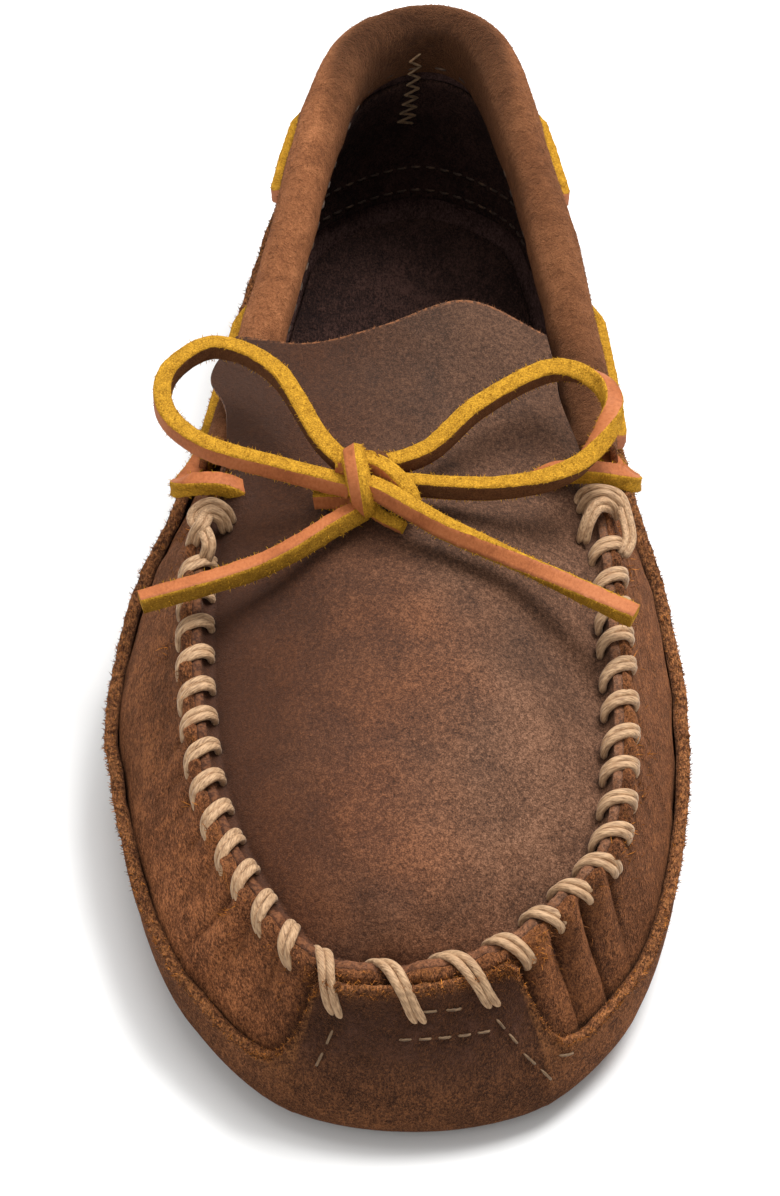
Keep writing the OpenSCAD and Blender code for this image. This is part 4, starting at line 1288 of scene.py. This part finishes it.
KNOT = np.array([-8.2, -27.6, 74.0])
knot = Mesh()
angle = np.radians(np.arange(-80, 285, 8))
turned = KNOT + np.stack([0.2 - 1.3 * np.cos(angle - math.radians(45)), 5.7 * np.cos(angle),
                          5.0 * np.sin(angle)], -1)
turned[:, 2] = np.maximum(turned[:, 2], 69.6)
lace(knot, turned, 122, width=5.0, thick=4.4, up=(1, 0, 0), seed=7, corner=1.15)
# The strands that the ring holds together, a turn that comes out at the right, and short ends:
# places from the middle of the knot, roll, width, thickness, seed.
for places, roll, width, thick, seed in (
        ([(-5, 2.5, 0.8), (0, 2.6, 0.6), (7, 3.4, 0.6)], 80, 4.0, 3.8, 0),
        ([(-4, 2.4, 2.6), (2.6, 1.6, 3.2), (6.4, -0.6, 2.6), (10, -3.6, 0.2), (11, -5.4, -2.4)],
         84, 4.0, 3.8, 19),
        ([(2, 5.5, 2.0), (4.2, 3.2, 3.6), (5.2, 0.4, 1.5)], 150, 3.4, 2.4, 23),
        ([(-9.2, 1.2, -6.1), (-5.8, 0.8, -5.6), (0.2, -0.4, -4.4)], 86, 4.0, 3.8, 31),
        ([(1.5, -3.5, -3.6), (5, -6.2, -4.3), (9.5, -8.6, -4.9)], 120, 3.4, 2.6, 43)):
    lace(knot, smooth_path(KNOT + np.array(places)), roll, width, thick, seed=seed)
knot.piece("bow_knot", LACE_MATERIALS, "shoe", ["lace_knot"], auto=50)

# The bridges come out of the collar's front ends and cross the edge of the plug.
LEFT_BRIDGE = [[-41.5, 3, 53], [-44.2, -3, 52.5], [-46.2, -9, 54], [-46.6, -13.2, 57.4],
               [-44.6, -15.8, 60.8], [-41, -16.5, 62], [-37.5, -16.6, 61.9], [-34.2, -16.7, 60.4],
               [-31.6, -16.8, 57.4]]
RIGHT_BRIDGE = [[43.4, 4, 53], [46.8, -2, 53], [48.8, -7.6, 55.6], [49.2, -11.4, 59],
                [47.2, -13.4, 62.4], [43, -14.1, 64.2], [38.5, -14.4, 64.9], [34, -14.6, 64.7],
                [30, -14.8, 63], [27.4, -15, 59.6]]
for name, table, seed in (("left", LEFT_BRIDGE, 11), ("right", RIGHT_BRIDGE, 71)):
    bridge = Mesh()
    lace(bridge, smooth_path(table), 0, seed=seed, width=4.2, thick=3.6)
    bridge.piece("lace_bridge_" + name + "_piece", LACE_MATERIALS, "shoe",
                 ["lace_bridge_" + name], auto=50)

WINDOWS = [(6.75, 7.65), (8.5, 9.15)]
lace_u = np.linspace(COLLAR_FRONT + 0.1, SIDES - COLLAR_FRONT - 0.1, 360)
outside = np.max([smooth(a - 0.06, a + 0.06, from_toe(lace_u))
                  * (1 - smooth(b - 0.06, b + 0.06, from_toe(lace_u))) for a, b in WINDOWS], 0)
lace_path = (rim(lace_u) + rim_out(lace_u) * lerp(1.8, 6.4, outside)[:, None]
             - up_by(lerp(6.1, 11, outside)))
inner_lace = Mesh()
lace(inner_lace, lace_path, 90)
inner_lace.piece("collar_drawstring", LACE_MATERIALS, "shoe", ["collar_lace"])

# -------- lock knots
# The cord's end wound over the ridge and tucked in: strands by places relative to the end of
# the seam.
LEFT_KNOT = [
    [(5.6, -1.4, -1.5), (4.6, -1.2, 2.2), (1.8, -0.8, 4.0), (-1.1, -2.1, 3.5), (-1.9, -4.1, 2.5),
     (0.4, -7.6, 3.0), (1.6, -10.8, 1.8), (0.6, -12.2, -2.0)],
    [(5.0, -3.6, -1.8), (3.8, -3.0, 2.0), (1.3, -3.3, 3.5), (0.2, -6.8, 4.0),
     (-1.3, -7.8, 2.0), (-2.5, -7.8, -2.4)]]
RIGHT_KNOT = [
    [(-5.6, 3.4, -1.8), (-4.6, 4.4, 2.0), (-1.6, 3.2, 4.6), (2.6, 2.6, 3.6), (4.3, -1.0, 1.2),
     (5.1, -5.6, -1.0), (3.4, -9.2, -2.6)],
    [(3.4, 1.2, -1.0), (1.5, 0.9, 2.2), (-1.6, -1.4, 4.6), (-3.7, -4.4, 2.8), (-4.9, -6.6, -1.6)],
    [(-5.0, 1.6, -1.0), (-3.4, 1.8, 3.0), (0.0, 1.4, 4.8), (2.8, 0.8, 2.4), (3.2, 0.6, -1.4)]]
for side, strands, node in ((-1, LEFT_KNOT, "lock_knot_left"), (1, RIGHT_KNOT, "lock_knot_right")):
    mesh = Mesh()
    end_of_seam = rim(side * SEAM_END)
    for places in strands:
        path = smooth_path(end_of_seam + np.array(places), 0.6)
        t = unit(np.gradient(path, axis=0))
        s = lengths(path)
        flat_dir = unit(np.cross(t, [0, -0.7, 0.7]))
        for half in (-0.7, 0.7):
            tube(mesh, path + flat_dir * half, CORD_R, up=(0, -0.7, 0.7), segments=12, flat=0.95,
                 pitch=12, shade=dark_ends(s, 0.5, 1.4), ply=0.045)
    mesh.piece(node + "_cord", [M_CORD], "shoe", [node])

# -------- machine stitching
def thread_piece(name, material, node, rows, **look):
    """A piece of machine stitches in rows, each the row's places and the directions away there."""
    mesh = Mesh()
    for line, normal in rows:
        stitches_along(mesh, line, normal, **look)
    mesh.piece(name, [material], "shoe", [node])


def sole_row(start, end):
    """A row on the sole layer between two places, each a station and a height."""
    u = np.linspace(start[0], end[0], 60)
    w = share_at(u, np.linspace(start[1], end[1], 60))
    return layer(u, w, sole_offset(u, w, SOLE_T) + 0.12), wall_normal(u, w)


TAB_SEAMS = [((-0.05, 25.8), (0.80, 25.5)), ((0.20, 31.4), (0.62, 31.0))]
EDGE_SEAMS = [((0.84, 28), (0.98, 21)), ((0.98, 20), (1.22, 11.5)), ((1.28, 16.5), (1.52, 15)),
              ((-0.62, 28), (-0.74, 17.5))]
for place, seams in (("toe_tab", TAB_SEAMS), ("sole_edge", EDGE_SEAMS)):
    thread_piece(place + "_threads", M_THREAD, place + "_stitching",
                 [sole_row(*seam) for seam in seams], pitch=3.9, cover=0.68, radius=0.28)
u = np.linspace(COLLAR_FRONT + 0.2, SIDES - COLLAR_FRONT - 0.2, 500)
thread_piece("collar_threads", M_THREAD_PAINTED_SHADE, "collar_stitching",
             [(on_wall(u, 11.5, COLLAR_INSIDE + 0.2), -rim_out(u))], pitch=6.5, cover=0.5, radius=0.3)
u = np.linspace(HEEL - 1.55, HEEL + 1.55, 120)
thread_piece("counter_threads", M_THREAD_PAINTED_SHADE, "counter_stitching",
             [(layer(u, share, counter_d - COUNTER_T - 0.05), -wall_normal(u, share))
              for share in (0.30, 0.40)], pitch=3.4)
mesh = Mesh()
turns = 14
f = np.linspace(0, turns, turns * 10 + 1)
u = HEEL + 0.22 + 0.1 * (2 * np.abs(2 * (f / 2 - np.floor(f / 2 + 0.5))) - 1)
p = on_wall(u, lerp(7.5, 32, f / turns), COLLAR_INSIDE - AIR)
tube(mesh, p, 0.34, up=(0, 1, 0), segments=7, lobes=2, pitch=1.6)
mesh.piece("back_seam_threads", [M_THREAD], "shoe", ["back_seam_zigzag"])

# -------- floor, light and camera
bpy.ops.mesh.primitive_plane_add(size=8, location=(0, 0, -0.0002))
floor = bpy.context.object
floor.name = "floor"
stage = Nodes("floor")
camera_ray = stage.add("LightPath").outputs["Is Camera Ray"]
colour = stage.mix(camera_ray, (0.62, 0.60, 0.58, 1), (0.93, 0.93, 0.925, 1))
floor.data.materials.append(stage.finish(colour, 0.9, specular=0.0))

world = bpy.data.worlds.new("studio")
world.use_nodes = True
world.node_tree.nodes["Background"].inputs["Color"].default_value = (1.0, 0.995, 0.985, 1)
world.node_tree.nodes["Background"].inputs["Strength"].default_value = 0.50
bpy.context.scene.world = world


def area_light(name, place, target, size, power):
    data = bpy.data.lights.new(name, "AREA")
    data.shape = "DISK"
    data.size = size
    data.energy = power
    obj = bpy.data.objects.new(name, data)
    obj.location = place
    aim = np.array(target) - np.array(place)
    obj.rotation_euler = Vector(aim).to_track_quat("-Z", "Y").to_euler()
    bpy.context.scene.collection.objects.link(obj)


area_light("key", (0.46, 0.36, 1.2), (0, -0.02, 0.03), 0.7, 17.5)
area_light("overhead", (0.05, 0.2, 1.2), (0, -0.02, 0.03), 0.9, 7)
area_light("front", (-0.4, -1.0, 0.9), (0, -0.05, 0.03), 0.9, 2.5)

camera_data = bpy.data.cameras.new("camera")
camera_data.sensor_width = 36
camera_data.lens = 126.4
camera_data.clip_start = 0.01
camera = bpy.data.objects.new("camera", camera_data)
camera.location = (0.0107, -0.6567, 0.6780)
camera.rotation_euler = (math.radians(90 - 45.42), 0, math.radians(1.13))
bpy.context.scene.collection.objects.link(camera)
bpy.context.scene.camera = camera
bpy.context.scene.view_settings.view_transform = "Standard"
